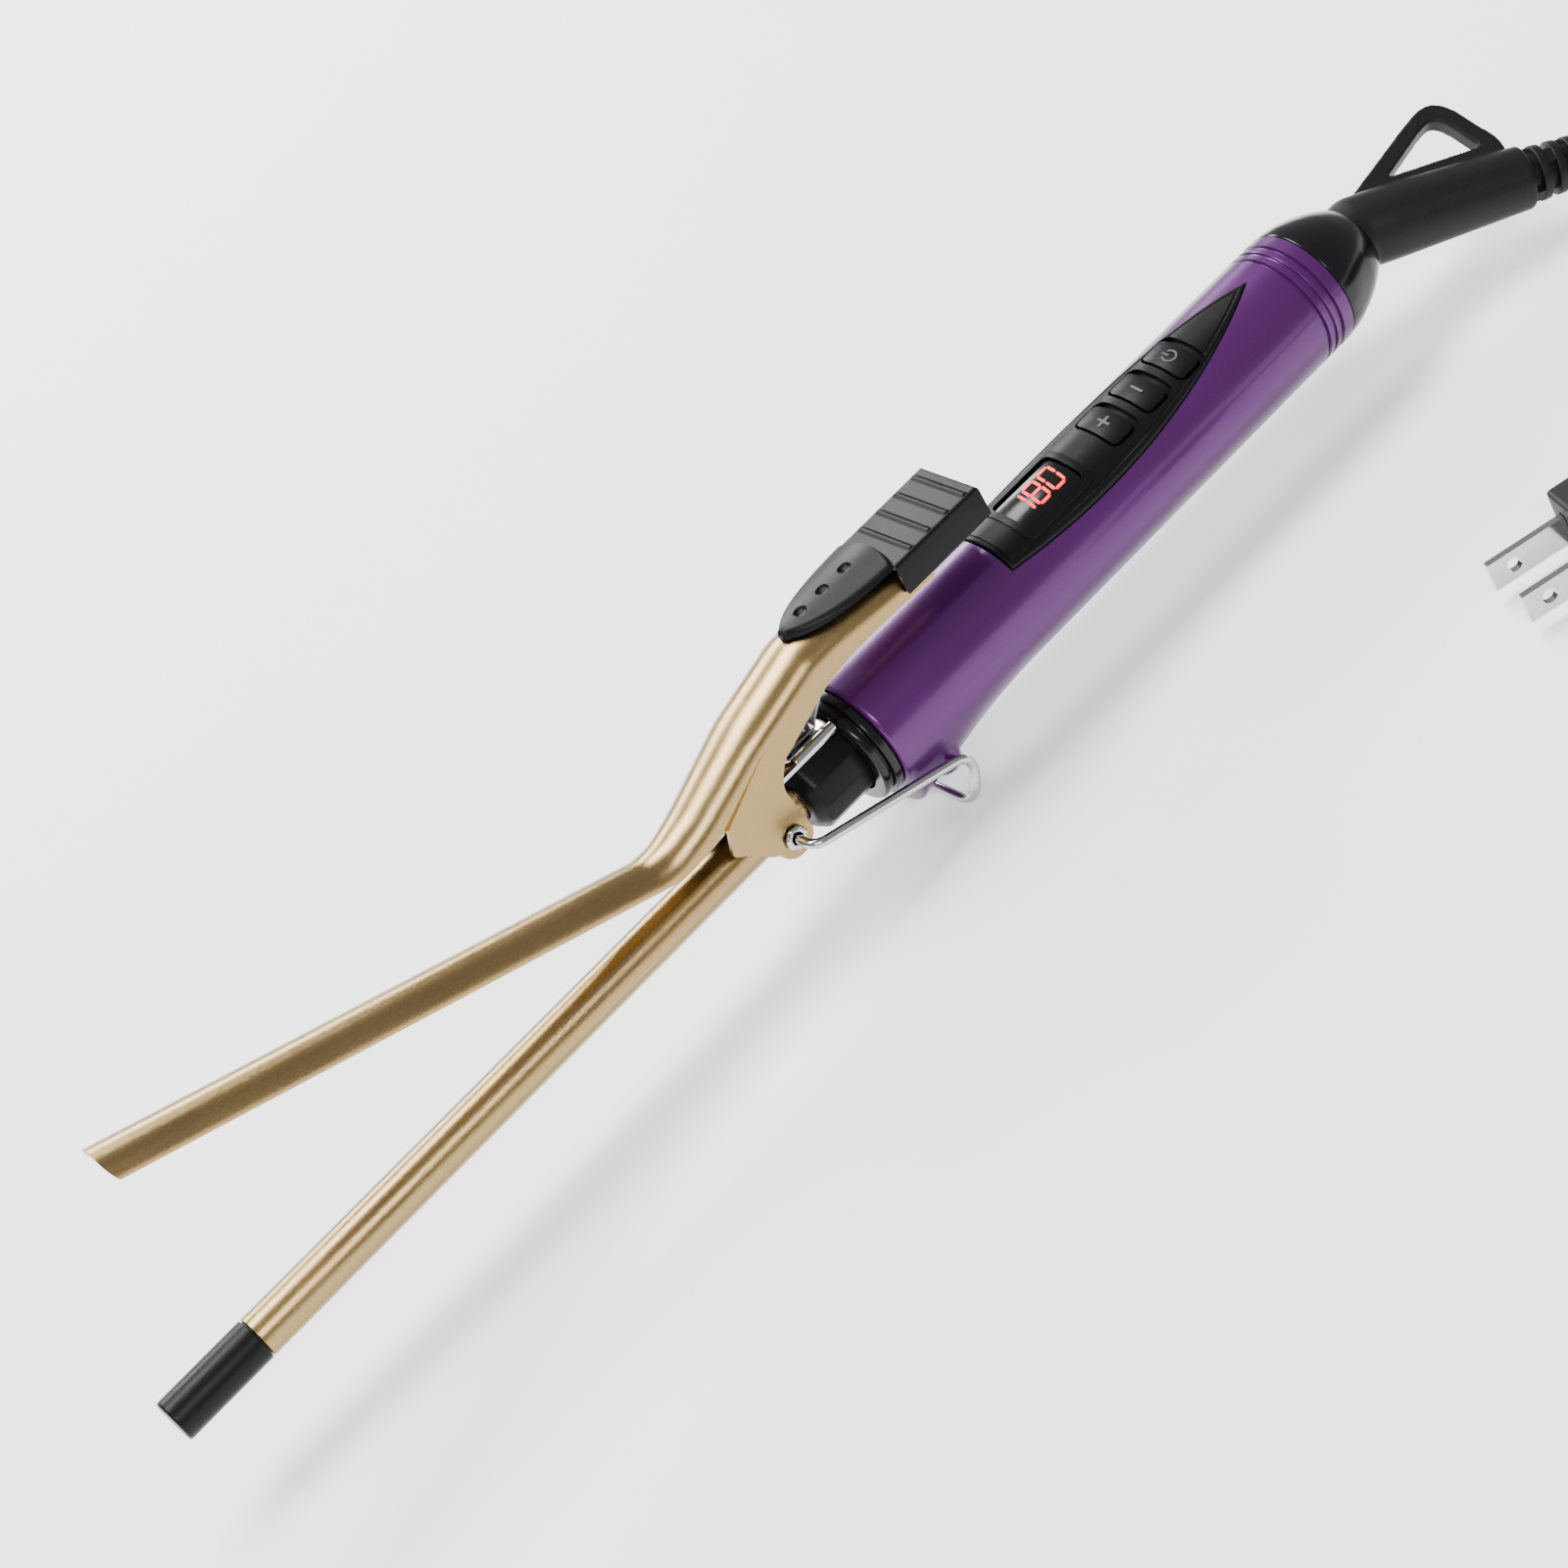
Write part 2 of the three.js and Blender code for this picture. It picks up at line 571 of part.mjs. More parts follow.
// What an upright outline leaves of a tube of the handle's curve.
function curved(shape, inner, outer) {
  return plate(shape, 4, outer + 2).intersect(tube(PANEL_START - 5, PANEL_END + 5, inner, outer, 64));
}

function controlPanel() {
  const body = curved(panelOutline(0), HANDLE_BORE_R + 0.1, PANEL_R);
  const holes = [plate(roundedRect(WINDOW_START, WINDOW_START + WINDOW_LENGTH, WINDOW_HALF, 1.5), 4, 20)];
  for (let i = 0; i < 3; i++) {
    const x = buttonX(i);
    holes.push(plate(roundedRect(x - GAP, x + BUTTON_LENGTH + GAP, BUTTON_HALF + GAP, 1.6), 4, 20));
  }
  return cut(body, ...holes);
}

function displayWindow() {
  const shape = roundedRect(WINDOW_START + GAP, WINDOW_START + WINDOW_LENGTH - GAP, WINDOW_HALF - GAP, 1.2);
  return curved(shape, HANDLE_BORE_R + 0.6, PANEL_R - 0.3);
}

function button(i) {
  const x = buttonX(i);
  const outline = roundedRect(x, x + BUTTON_LENGTH, BUTTON_HALF, 1.4);
  return curved(outline, HANDLE_BORE_R - 0.1, PANEL_R + BUTTON_PROUD);
}

function tactSwitch(i) {
  const x = buttonX(i) + BUTTON_LENGTH / 2;
  const base = BOARD_TOP + GAP;
  return join(box(x - 2.5, x + 2.5, -2.5, 2.5, base, base + 2.2), post(x, 0, 1.3, base + 2, base + 3.1, 12));
}

const BOARD_START = PANEL_START + 3;
const BOARD_END = PANEL_END - 9;
const BOARD_SCREWS = [WINDOW_START + WINDOW_LENGTH + 6, BOARD_END - 3.5];

function circuitBoard() {
  const body = box(BOARD_START, BOARD_END, -BOARD_HALF, BOARD_HALF, BOARD_TOP - BOARD_THICK, BOARD_TOP);
  return cut(body, ...BOARD_SCREWS.map((x) => post(x, 0, 1.1, 0, 20, 12)));
}

function chassisTray() {
  const top = BOARD_TOP - BOARD_THICK - GAP;
  const body = box(BOARD_START - 2, BOARD_END + 3, -BOARD_HALF - 0.5, BOARD_HALF + 0.5, top - 2.2, top);
  return cut(body, ...BOARD_SCREWS.map((x) => post(x, 0, 1.1, -1, 20, 12)));
}

function boardScrew(i) {
  const x = BOARD_SCREWS[i];
  const under = BOARD_TOP + GAP;
  return join(post(x, 0, 1.7, under, under + 1.1, 16), post(x, 0, 0.8, under - 3.8, under + 0.5, 12));
}

function displayModule() {
  const base = BOARD_TOP + GAP;
  return box(WINDOW_START + 0.8, WINDOW_START + WINDOW_LENGTH - 0.8, -4.6, 4.6, base, base + 2.6);
}

function smoothingCapacitor() {
  const x = buttonX(2) + BUTTON_LENGTH + 1.5;
  return rod(x, x + 5.5, 1.4, 16).translate([0, 3.4, BOARD_TOP + GAP + 1.4]);
}

// ---------------------------------------------------------------- rear cap and swivel
function rearCap() {
  const spigot = HANDLE_BORE_R - GAP;
  return turned([
    [CAP_START - 8, spigot - 1.5], [CAP_START - 8, spigot], [CAP_START, spigot],
    [CAP_START, HANDLE_R - 0.1], [CAP_START + 3.2, HANDLE_R - 0.35], [CAP_START + 6.4, HANDLE_R - 1.2],
    [CAP_START + 9.8, HANDLE_R - 2.5], [CAP_START + 12.6, HANDLE_R - 4], [CAP_START + 14.1, HANDLE_R - 5],
    [CAP_END, CAP_MOUTH_R + 0.2], [CAP_END, CAP_MOUTH_R], [CAP_END - 4, CAP_MOUTH_R],
    [CAP_END - 4, spigot - 1.5],
  ], 40);
}

const RETAINER_X = CAP_END - 6.6;
const HUB_START = CAP_START - 9;
const HUB_R = 4.5;

function swivelRetainer() {
  return tube(RETAINER_X, RETAINER_X + 2, TAIL_ROOT_R - 0.9 + GAP, HANDLE_BORE_R - 2.4, 28);
}

const RING_X = [HUB_START + 1.2, HUB_START + 5.2];
const contactRing = (i) => tube(RING_X[i], RING_X[i] + 2, HUB_R + GAP, HUB_R + 1.1, 28);

function contactCarrier() {
  const body = tube(HUB_START, CAP_START - 1, HUB_R + 2.6, HANDLE_BORE_R - 1.5 - 2 * GAP, 28);
  return cut(body, ...RING_X.map((x) => post(x + 1, 0, 1, 0, 20, 12)));
}

const contactBrush = (i) => post(RING_X[i] + 1, 0, 0.7, HUB_R + 1.4, HANDLE_BORE_R - 2.2, 12);

// The tail in its own frame: straight back along X from the elbow, and the root along the handle's axis.
function tailRoot() {
  const neck = TAIL_ROOT_R - 0.9;
  return turned([
    [HUB_START, 0], [HUB_START, HUB_R], [CAP_START, HUB_R], [CAP_START, neck], [RETAINER_X + 2.3, neck],
    [RETAINER_X + 2.3, TAIL_ROOT_R], [ELBOW_X, TAIL_ROOT_R], [ELBOW_X, 0],
  ]);
}

function hangingLoop() {
  const outer = new THREE.Shape();
  outer.moveTo(-1, 5);
  outer.lineTo(20, 20.6);
  outer.quadraticCurveTo(25, 24.6, 29, 21);
  outer.lineTo(35.5, 9.5);
  outer.lineTo(35.5, 4);
  const hole = new THREE.Shape();
  hole.moveTo(10.5, 9.2);
  hole.lineTo(21, 17.2);
  hole.quadraticCurveTo(24.6, 20.2, 26.8, 17.4);
  hole.lineTo(31.2, 9.2);
  const plateOf = (shape, half) => sidePlate(shape, -half, half);
  return cut(plateOf(outer, LOOP_THICK / 2), plateOf(hole, LOOP_THICK));
}

function tailSleeve() {
  const elbow = solid(new THREE.SphereGeometry(TAIL_ROOT_R, 32, 20));
  const sleeve = turned([[0, 0], [0, TAIL_ROOT_R], [5, TAIL_ROOT_R + 0.2],
    [SLEEVE_LENGTH, SLEEVE_END_R], [SLEEVE_LENGTH, 0]]);
  const bent = join(sleeve, hangingLoop())
    .rotate([0, TAIL_BEND, 0])
    .rotate([-TAIL_TURN, 0, 0]);
  const whole = join(bent, elbow).translate([ELBOW_X, 0, 0]);
  return join(whole, tailRoot());
}

// Rings on a tapered core, behind the sleeve's end.
function strainRelief() {
  const start = SLEEVE_LENGTH + GAP;
  const pitch = RELIEF_LENGTH / RELIEF_RIBS;
  const taper = (x) => RELIEF_R - ((RELIEF_R - RELIEF_END_R) * (x - start)) / RELIEF_LENGTH;
  const profile = [[start, 0]];
  for (let i = 0; i < RELIEF_RIBS; i++) {
    const x = start + i * pitch;
    profile.push([x, taper(x) - 1], [x + pitch * 0.55, taper(x) - 1]);
    profile.push([x + pitch * 0.55, taper(x)], [x + pitch, taper(x)]);
  }
  profile.push([start + RELIEF_LENGTH, 0]);
  return turned(profile, 20);
}

// ---------------------------------------------------------------- lead
const CORD_D = 2 * CORD_R;
const COIL_BASE = GROUND + TIE_THICK + GAP;
const COIL_OUTER_R = COIL_INNER_R + (COIL_COLUMNS - 1) * CORD_D;
const PLUG_Z = GROUND + PLUG_HEIGHT / 2;

// From the relief down to the ground and on to the coil's outer turn.
const LEAD_ROUTE = [
  [392.7, -28.4, -16.4], [398.1, -30.9, -17.8], [405, -34, -19], [413, -37.6, -19.5],
  [423, -42.1, -19.3], [433.5, -46.8, -19.3],
];

// Off the top of the coil, down to the ground and up into the plug.
const END_ROUTE = [
  [399.3, -130, -13.3], [388, -125.9, -13.3], [373.9, -120.8, -14], [359.8, -115.6, -17],
  [346.7, -110.8, -19.8], [335.4, -106.7, -19.3], [326, -103.3, -17.4], [320.3, -101.3, -17],
];

function coilSolid(grow) {
  const inner = COIL_INNER_R - CORD_R - grow;
  const outer = COIL_OUTER_R + CORD_R + grow;
  const height = COIL_LAYERS * CORD_D + 2 * grow;
  const section = [[inner, 0], [outer, 0], [outer, height], [inner, height], [inner, 0]];
  const ring = new THREE.LatheGeometry(section.map(([r, z]) => new THREE.Vector2(r, z)), 40);
  return solid(ring.rotateX(Math.PI / 2)).translate([...COIL_CENTRE, COIL_BASE - grow]);
}

function cordRun(route) {
  const points = route.map((at) => new THREE.Vector3(...at));
  const path = new THREE.CatmullRomCurve3(points, false, "centripetal");
  const steps = Math.ceil(path.getLength() / (2.5 * CORD_D));
  return cut(roundBar(path, CORD_R, steps, 10), coilSolid(GAP));
}

function cordTie() {
  const inner = [COIL_INNER_R - CORD_R - 1, COIL_BASE - GAP];
  const outer = [COIL_OUTER_R + CORD_R + GAP, COIL_BASE + COIL_LAYERS * CORD_D + GAP];
  const ring = (grow) => box(
    inner[0] - grow, outer[0] + grow, -TIE_WIDTH, TIE_WIDTH, inner[1] - grow, outer[1] + grow,
  );
  const band = box(0, 2 * COIL_OUTER_R, -TIE_WIDTH / 2, TIE_WIDTH / 2, GROUND - 5, GROUND + 40);
  return cut(ring(TIE_THICK).intersect(band), ring(0))
    .rotate([0, 0, TIE_AT])
    .translate([...COIL_CENTRE, 0]);
}

// The plug in its own frame: +X towards its blades, from the end of the lead.
function plugBody() {
  const start = 2 * GAP;
  const neck = turned([[start, 0], [start, CORD_R + 0.8], [9, CORD_R + 1.8], [9, 0]], 20);
  const plan = new THREE.Shape();
  const half = PLUG_WIDTH / 2;
  plan.moveTo(8, -5);
  plan.quadraticCurveTo(9, -half, 15, -half);
  plan.lineTo(PLUG_LENGTH + 8, -half);
  plan.lineTo(PLUG_LENGTH + 8, half);
  plan.lineTo(15, half);
  plan.quadraticCurveTo(9, half, 8, 5);
  const slots = [-1, 1].map((side) => bladeBox(side, GAP));
  return cut(join(neck, plate(plan, -PLUG_HEIGHT / 2, PLUG_HEIGHT / 2)), ...slots);
}

function bladeBox(side, grow) {
  const y = (side * BLADE_SPACING) / 2;
  const tip = PLUG_LENGTH + 8 + BLADE_LENGTH;
  return box(PLUG_LENGTH - grow, tip, y - 0.75 - grow, y + 0.75 + grow, -3.15 - grow, 3.15 + grow);
}

const plugBlade = (side) => cut(bladeBox(side, 0), crossRod(PLUG_LENGTH + 20, 0, 1.6, -20, 20, 12));

// ---------------------------------------------------------------- assembly
const iron = new THREE.Group();
const add = (name, body, material) => piece(iron, name, body, material);

add("tip_cap", tipCap(), BLACK);
add("barrel_tube", barrelTube(), GOLD);
add("heater_rod", heaterRod(), CERAMIC);
add("heater_lead_near", heaterLead(-1), RED);
add("heater_lead_far", heaterLead(1), RED);
add("thermal_sensor", thermalSensor(), CERAMIC);
add("neck_block", neckBlock(), BLACK);
add("collar_ring", collarRing(), BLACK);
add("hinge_bracket", hingeBracket(), STEEL);
add("bracket_screw", bracketScrew(), STEEL);
add("clip_spring", clipSpring(), STEEL);
add("pivot_rivet_near", pivotRivet(-1), STEEL);
add("pivot_rivet_far", pivotRivet(1), STEEL);
add("kick_stand", kickStand(), STEEL);
add("handle_sleeve", handleSleeve(), PURPLE);
add("rear_cap", rearCap(), BLACK);
add("contact_carrier", contactCarrier(), CERAMIC);
add("contact_brush_front", contactBrush(0), BRASS);
add("contact_brush_rear", contactBrush(1), BRASS);

const hinge = new THREE.Group();
hinge.position.set(PIVOT_X, 0, PIVOT_Z);
hinge.rotation.y = THREE.MathUtils.degToRad(CLIP_OPEN);
iron.add(hinge);
piece(hinge, "clip", clipSheet(), GOLD);
const lever = new THREE.Group();
lever.rotation.y = -THREE.MathUtils.degToRad(LEVER_PITCH);
hinge.add(lever);
piece(lever, "lever_cover", leverCover(), BLACK);

const panel = new THREE.Group();
panel.rotation.x = THREE.MathUtils.degToRad(PANEL_TURN);
iron.add(panel);
piece(panel, "control_panel", controlPanel(), BLACK);
piece(panel, "display_window", displayWindow(), GLASS);
piece(panel, "display_module", displayModule(), BLACK);
["button_plus", "button_minus", "button_power"].forEach((name, i) => {
  piece(panel, name, button(i), BLACK);
  piece(panel, name.replace("button", "switch"), tactSwitch(i), BLACK);
});
piece(panel, "circuit_board", circuitBoard(), GREEN);
piece(panel, "chassis_tray", chassisTray(), BLACK);
piece(panel, "board_screw_front", boardScrew(0), STEEL);
piece(panel, "board_screw_rear", boardScrew(1), STEEL);
piece(panel, "smoothing_capacitor", smoothingCapacitor(), STEEL);

add("swivel_sleeve", tailSleeve(), BLACK);
add("swivel_retainer", swivelRetainer(), STEEL);
add("contact_ring_front", contactRing(0), BRASS);
add("contact_ring_rear", contactRing(1), BRASS);

const tail = new THREE.Group();
tail.position.set(ELBOW_X, 0, 0);
tail.rotation.x = -THREE.MathUtils.degToRad(TAIL_TURN);
iron.add(tail);
const bent = new THREE.Group();
bent.rotation.y = THREE.MathUtils.degToRad(TAIL_BEND);
tail.add(bent);
piece(bent, "strain_relief", strainRelief(), SOFT_BLACK);

add("cord_lead", cordRun(LEAD_ROUTE), SOFT_BLACK);
add("cord_coil", coilSolid(0), SOFT_BLACK);
add("cord_end", cordRun(END_ROUTE), SOFT_BLACK);
add("cord_tie", cordTie(), BLACK);

const [before, last] = END_ROUTE.slice(-2);
const plug = new THREE.Group();
plug.position.set(last[0], last[1], PLUG_Z);
plug.rotation.z = Math.atan2(last[1] - before[1], last[0] - before[0]);
iron.add(plug);
piece(plug, "plug_body", plugBody(), SOFT_BLACK);
piece(plug, "plug_blade_left", plugBlade(1), STEEL);
piece(plug, "plug_blade_right", plugBlade(-1), STEEL);

export default iron;
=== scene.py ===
# The looks of a slim curling iron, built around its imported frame.
# Lengths in this script are millimetres until a piece is settled on its body.
import json
import math

import bmesh
import bpy
import numpy as np
from mathutils import Matrix, Vector


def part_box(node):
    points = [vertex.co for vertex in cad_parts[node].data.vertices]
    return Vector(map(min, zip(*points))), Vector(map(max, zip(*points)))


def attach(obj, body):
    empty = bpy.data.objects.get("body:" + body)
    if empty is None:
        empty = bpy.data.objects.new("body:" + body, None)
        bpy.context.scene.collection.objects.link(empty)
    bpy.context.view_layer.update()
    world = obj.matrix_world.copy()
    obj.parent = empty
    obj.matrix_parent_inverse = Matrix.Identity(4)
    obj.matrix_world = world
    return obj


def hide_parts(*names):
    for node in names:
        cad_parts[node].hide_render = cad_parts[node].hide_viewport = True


MM = 0.001
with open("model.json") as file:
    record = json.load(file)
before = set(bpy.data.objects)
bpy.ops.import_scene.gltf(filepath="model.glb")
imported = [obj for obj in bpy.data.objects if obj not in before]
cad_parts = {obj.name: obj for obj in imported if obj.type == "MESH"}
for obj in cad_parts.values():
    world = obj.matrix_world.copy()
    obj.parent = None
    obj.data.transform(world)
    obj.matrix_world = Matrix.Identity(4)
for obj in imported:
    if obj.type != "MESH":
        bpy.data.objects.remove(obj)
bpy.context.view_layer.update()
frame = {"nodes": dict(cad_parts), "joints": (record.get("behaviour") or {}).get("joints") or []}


def reach(node, axis):
    """The lowest and highest coordinate of a CAD node along an axis, in millimetres."""
    low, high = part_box(node)
    return low[axis] / MM, high[axis] / MM


# ---------------------------------------------------------------- sizes
GAP = 0.3
BARREL_R = reach("barrel_tube", 2)[1]
TUBE_START, TUBE_END = reach("barrel_tube", 0)
TIP_END = TUBE_START - GAP
NECK_START, NECK_END = reach("neck_block", 0)
NECK_R = reach("neck_block", 2)[1]
COLLAR_START = reach("collar_ring", 0)[0]
COLLAR_R = reach("collar_ring", 2)[1]
HANDLE_START, HANDLE_END = reach("handle_sleeve", 0)
HANDLE_R = reach("handle_sleeve", 2)[1]
HANDLE_BORE_R = HANDLE_R - 1.8
CAP_START = HANDLE_END + GAP
CAP_END = reach("rear_cap", 0)[1]
ELBOW_X = CAP_END + 3
HINGE = next(joint for joint in frame["joints"] if joint["name"] == "clip_hinge")
PIVOT_X, _, PIVOT_Z = (value / MM for value in HINGE["pos_m"])
EAR_OUT = reach("clip", 1)[1]
EAR_IN = EAR_OUT - 0.9
CHEEK_OUT = EAR_IN - GAP
SADDLE_Z = NECK_R + GAP
SCREW_X = NECK_START + 8.5
CLIP_OPEN = HINGE["range_deg"][1]
CLIP_REACH = 146.4

LEVER_NOSE, LEVER_END = reach("lever_cover", 0)
LEVER_SHOULDER = PIVOT_X + 45
LEVER_Z = PIVOT_Z + 29.6
LEVER_HALF = reach("lever_cover", 1)[1]
LEVER_BOTTOM, LEVER_TOP = reach("lever_cover", 2)
LEVER_CROWN_R = 24

PANEL_TURN = math.radians(12)
PANEL_START, PANEL_END = reach("control_panel", 0)
PANEL_HALF = 9.3
PANEL_R = HANDLE_R + 0.45
GLASS_R = PANEL_R - 0.3
WINDOW_START = PANEL_START + 8
WINDOW_END = WINDOW_START + 16
WINDOW_HALF = 5.3
KEY_STARTS = [reach(node, 0)[0] for node in ("button_plus", "button_minus", "button_power")]
KEY_LENGTH = 6
KEY_HALF = 5.2

TAIL_BEND = math.radians(28)
TAIL_TURN = math.radians(60)
TAIL_ROOT_R = 7.6
SLEEVE_LENGTH = 37
SLEEVE_END_R = 6.6
RELIEF_LENGTH = 32
RELIEF_R = 5.9
RELIEF_END_R = 4.3
RELIEF_RIBS = 9

GROUND = reach("cord_tie", 2)[0]
CORD_R = 3
COIL_CENTRE = (414.7, -87.7)
COIL_INNER_R = 27
COIL_COLUMNS = 4
COIL_FLOOR = reach("cord_coil", 2)[0] + CORD_R


# ---------------------------------------------------------------- camera
def make_camera():
    turn, tilt, roll = math.radians(16.6), math.radians(39), math.radians(45.06)
    back = Vector((-math.sin(turn), -math.cos(turn) * math.cos(tilt), math.cos(turn) * math.sin(tilt)))
    side = Vector((math.cos(turn), -math.sin(turn) * math.cos(tilt), math.sin(turn) * math.sin(tilt)))
    rise = Vector((0, math.sin(tilt), math.cos(tilt)))
    target = Vector((162.7, 0, 0)) + 3.3 * rise
    right = math.cos(roll) * side - math.sin(roll) * rise
    up = math.sin(roll) * side + math.cos(roll) * rise
    data = bpy.data.cameras.new("camera")
    data.sensor_width = 36
    data.lens = 82.4
    data.clip_start, data.clip_end = 0.02, 20
    camera = bpy.data.objects.new("camera", data)
    bpy.context.scene.collection.objects.link(camera)
    camera.matrix_world = Matrix((
        (right.x, up.x, back.x, 0), (right.y, up.y, back.y, 0), (right.z, up.z, back.z, 0), (0, 0, 0, 1),
    ))
    camera.location = (target + 680 * back) * MM
    bpy.context.scene.camera = camera


make_camera()


# ---------------------------------------------------------------- finishes
def finish(name, base, roughness, metallic=0.0, grain=2500, tone=0.06, bump=0.05, rub=0.05, coat=0.0,
           stretch=(1, 1, 1), glow=0.0, specular=0.5):
    """A procedural finish: fine grain in its tone and relief, and broad variation in its gloss."""
    material = bpy.data.materials.new(name)
    material.use_nodes = True
    nodes, links = material.node_tree.nodes, material.node_tree.links
    shader = nodes["Principled BSDF"]
    shader.inputs["Metallic"].default_value = metallic
    shader.inputs["Coat Weight"].default_value = coat
    shader.inputs["Specular IOR Level"].default_value = specular
    shader.inputs["Coat Roughness"].default_value = 0.08
    place = nodes.new("ShaderNodeMapping")
    place.inputs["Scale"].default_value = stretch
    links.new(nodes.new("ShaderNodeTexCoord").outputs["Object"], place.inputs["Vector"])

    def noise(scale, detail):
        node = nodes.new("ShaderNodeTexNoise")
        node.inputs["Scale"].default_value = scale
        node.inputs["Detail"].default_value = detail
        links.new(place.outputs["Vector"], node.inputs["Vector"])
        return node.outputs["Fac"]

    def spread(source, low, high):
        node = nodes.new("ShaderNodeMapRange")
        node.inputs["From Min"].default_value = 0.3
        node.inputs["From Max"].default_value = 0.7
        node.inputs["To Min"].default_value = low
        node.inputs["To Max"].default_value = high
        links.new(source, node.inputs["Value"])
        return node.outputs["Result"]

    fine, broad = noise(grain, 3), noise(45, 4)
    mix = nodes.new("ShaderNodeMix")
    mix.data_type = "RGBA"
    mix.inputs["A"].default_value = (*[c * (1 - tone) for c in base], 1)
    mix.inputs["B"].default_value = (*[min(1, c * (1 + tone)) for c in base], 1)
    links.new(spread(fine, 0, 1), mix.inputs["Factor"])
    links.new(mix.outputs["Result"], shader.inputs["Base Color"])
    links.new(spread(broad, max(0.02, roughness - rub), roughness + rub), shader.inputs["Roughness"])
    relief = nodes.new("ShaderNodeBump")
    relief.inputs["Strength"].default_value = bump
    relief.inputs["Distance"].default_value = 0.0002
    links.new(fine, relief.inputs["Height"])
    links.new(relief.outputs["Normal"], shader.inputs["Normal"])
    if glow:
        shader.inputs["Emission Color"].default_value = (*base, 1)
        shader.inputs["Emission Strength"].default_value = glow
    return material


GOLD = finish("gold_metal", (0.33, 0.225, 0.1), 0.24, 1, grain=4200, tone=0.2, bump=0.22, rub=0.04)
PURPLE = finish("purple_satin", (0.075, 0.009, 0.105), 0.3, 0.5, grain=6000, tone=0.1, bump=0.05,
                rub=0.03, coat=0.2, specular=0.4)
BLACK_SATIN = finish("black_satin", (0.003, 0.003, 0.0035), 0.36, grain=3000, tone=0.25, bump=0.12,
                     specular=0.14)
BLACK_GLOSS = finish("black_gloss", (0.004, 0.004, 0.005), 0.2, grain=1800, tone=0.2, bump=0.02,
                     rub=0.04, coat=0.1, specular=0.22)
TAIL_BLACK = finish("tail_black", (0.006, 0.006, 0.007), 0.44, grain=2600, tone=0.2, bump=0.2, specular=0.18)
SOFT_BLACK = finish("cord_black", (0.005, 0.005, 0.006), 0.46, grain=1500, tone=0.2, bump=0.12,
                    specular=0.18)
CHROME = finish("bright_steel", (0.5, 0.5, 0.51), 0.1, 1, grain=900, tone=0.04, bump=0.03, rub=0.05)
SPRING = finish("spring_steel", (0.4, 0.4, 0.41), 0.32, 1, grain=900, tone=0.1, bump=0.1,
                stretch=(1, 12, 12))
BRASS = finish("brass", (0.62, 0.42, 0.15), 0.3, 1, grain=900, tone=0.1, bump=0.05)
CERAMIC = finish("ceramic", (0.8, 0.77, 0.7), 0.7, grain=1200, tone=0.06, bump=0.15)
GREEN = finish("board_green", (0.01, 0.13, 0.05), 0.45, grain=700, tone=0.3, bump=0.1)
WIRE_RED = finish("wire_red", (0.5, 0.02, 0.015), 0.45, grain=900, tone=0.1, bump=0.03)
GLASS = finish("display_glass", (0.002, 0.002, 0.0025), 0.2, grain=600, tone=0.1, bump=0.02,
               rub=0.04, specular=0.3)
DIGIT = finish("display_digits", (1.0, 0.02, 0.012), 0.4, grain=3000, tone=0.15, bump=0.0, glow=1.6)
MARK = finish("key_marks", (0.06, 0.06, 0.062), 0.32, grain=2500, tone=0.2, bump=0.1)
FLOOR = finish("floor", (0.92, 0.92, 0.92), 0.8, grain=60, tone=0.006, bump=0.0, glow=0.42)


# ---------------------------------------------------------------- mesh code
def mesh_object(name, vertices, faces):
    mesh = bpy.data.meshes.new(name)
    mesh.from_pydata([tuple(map(float, v)) for v in vertices], [], faces)
    mesh.update()
    made = bpy.data.objects.new(name, mesh)
    bpy.context.scene.collection.objects.link(made)
    return made


def face_out(made):
    work = bmesh.new()
    work.from_mesh(made.data)
    bmesh.ops.recalc_face_normals(work, faces=work.faces)
    work.to_mesh(made.data)
    work.free()
    return made


def soft(points, closed=True, steps=5):
    """An outline whose corners are rounded: a point is (a, b) or (a, b, how far the rounding reaches)."""
    out = []
    count = len(points)
    for i, point in enumerate(points):
        here = np.array(point[:2], float)
        if len(point) < 3 or (not closed and i in (0, count - 1)):
            out.append(tuple(here))
            continue
        before = np.array(points[i - 1][:2], float) - here
        after = np.array(points[(i + 1) % count][:2], float) - here
        a = here + before * min(point[2] / np.linalg.norm(before), 0.49)
        b = here + after * min(point[2] / np.linalg.norm(after), 0.49)
        for t in np.linspace(0, 1, steps):
            out.append(tuple((1 - t) ** 2 * a + 2 * t * (1 - t) * here + t * t * b))
    return out


def turned(name, profile, sides=128, closed=False, wave=None):
    """Turned about X from [x, radius] points. A closed profile is the section of a ring."""
    vertices, faces = [], []
    for x, r in profile:
        for k in range(sides):
            a = 2 * math.pi * k / sides
            radius = r * wave(a, x) if wave else r
            vertices.append((x, radius * math.cos(a), radius * math.sin(a)))
    count = len(profile)
    for i in range(count if closed else count - 1):
        j = (i + 1) % count
        for k in range(sides):
            m = (k + 1) % sides
            faces.append((i * sides + k, i * sides + m, j * sides + m, j * sides + k))
    if not closed:
        faces.append(tuple(range(sides)))
        faces.append(tuple(range((count - 1) * sides, count * sides)))
    return face_out(mesh_object(name, vertices, faces))


def prism(name, outline, low, high, upright=True):
    """An outline in X and Y from z low to high, or, if not upright, in X and Z from y low to high."""
    count = len(outline)
    corner = (lambda a, b, h: (a, b, h)) if upright else (lambda a, b, h: (a, h, b))
    vertices = [corner(a, b, h) for h in (low, high) for a, b in outline]
    faces = [tuple(range(count)), tuple(range(count, 2 * count))]
    for i in range(count):
        j = (i + 1) % count
        faces.append((i, j, count + j, count + i))
    return face_out(mesh_object(name, vertices, faces))


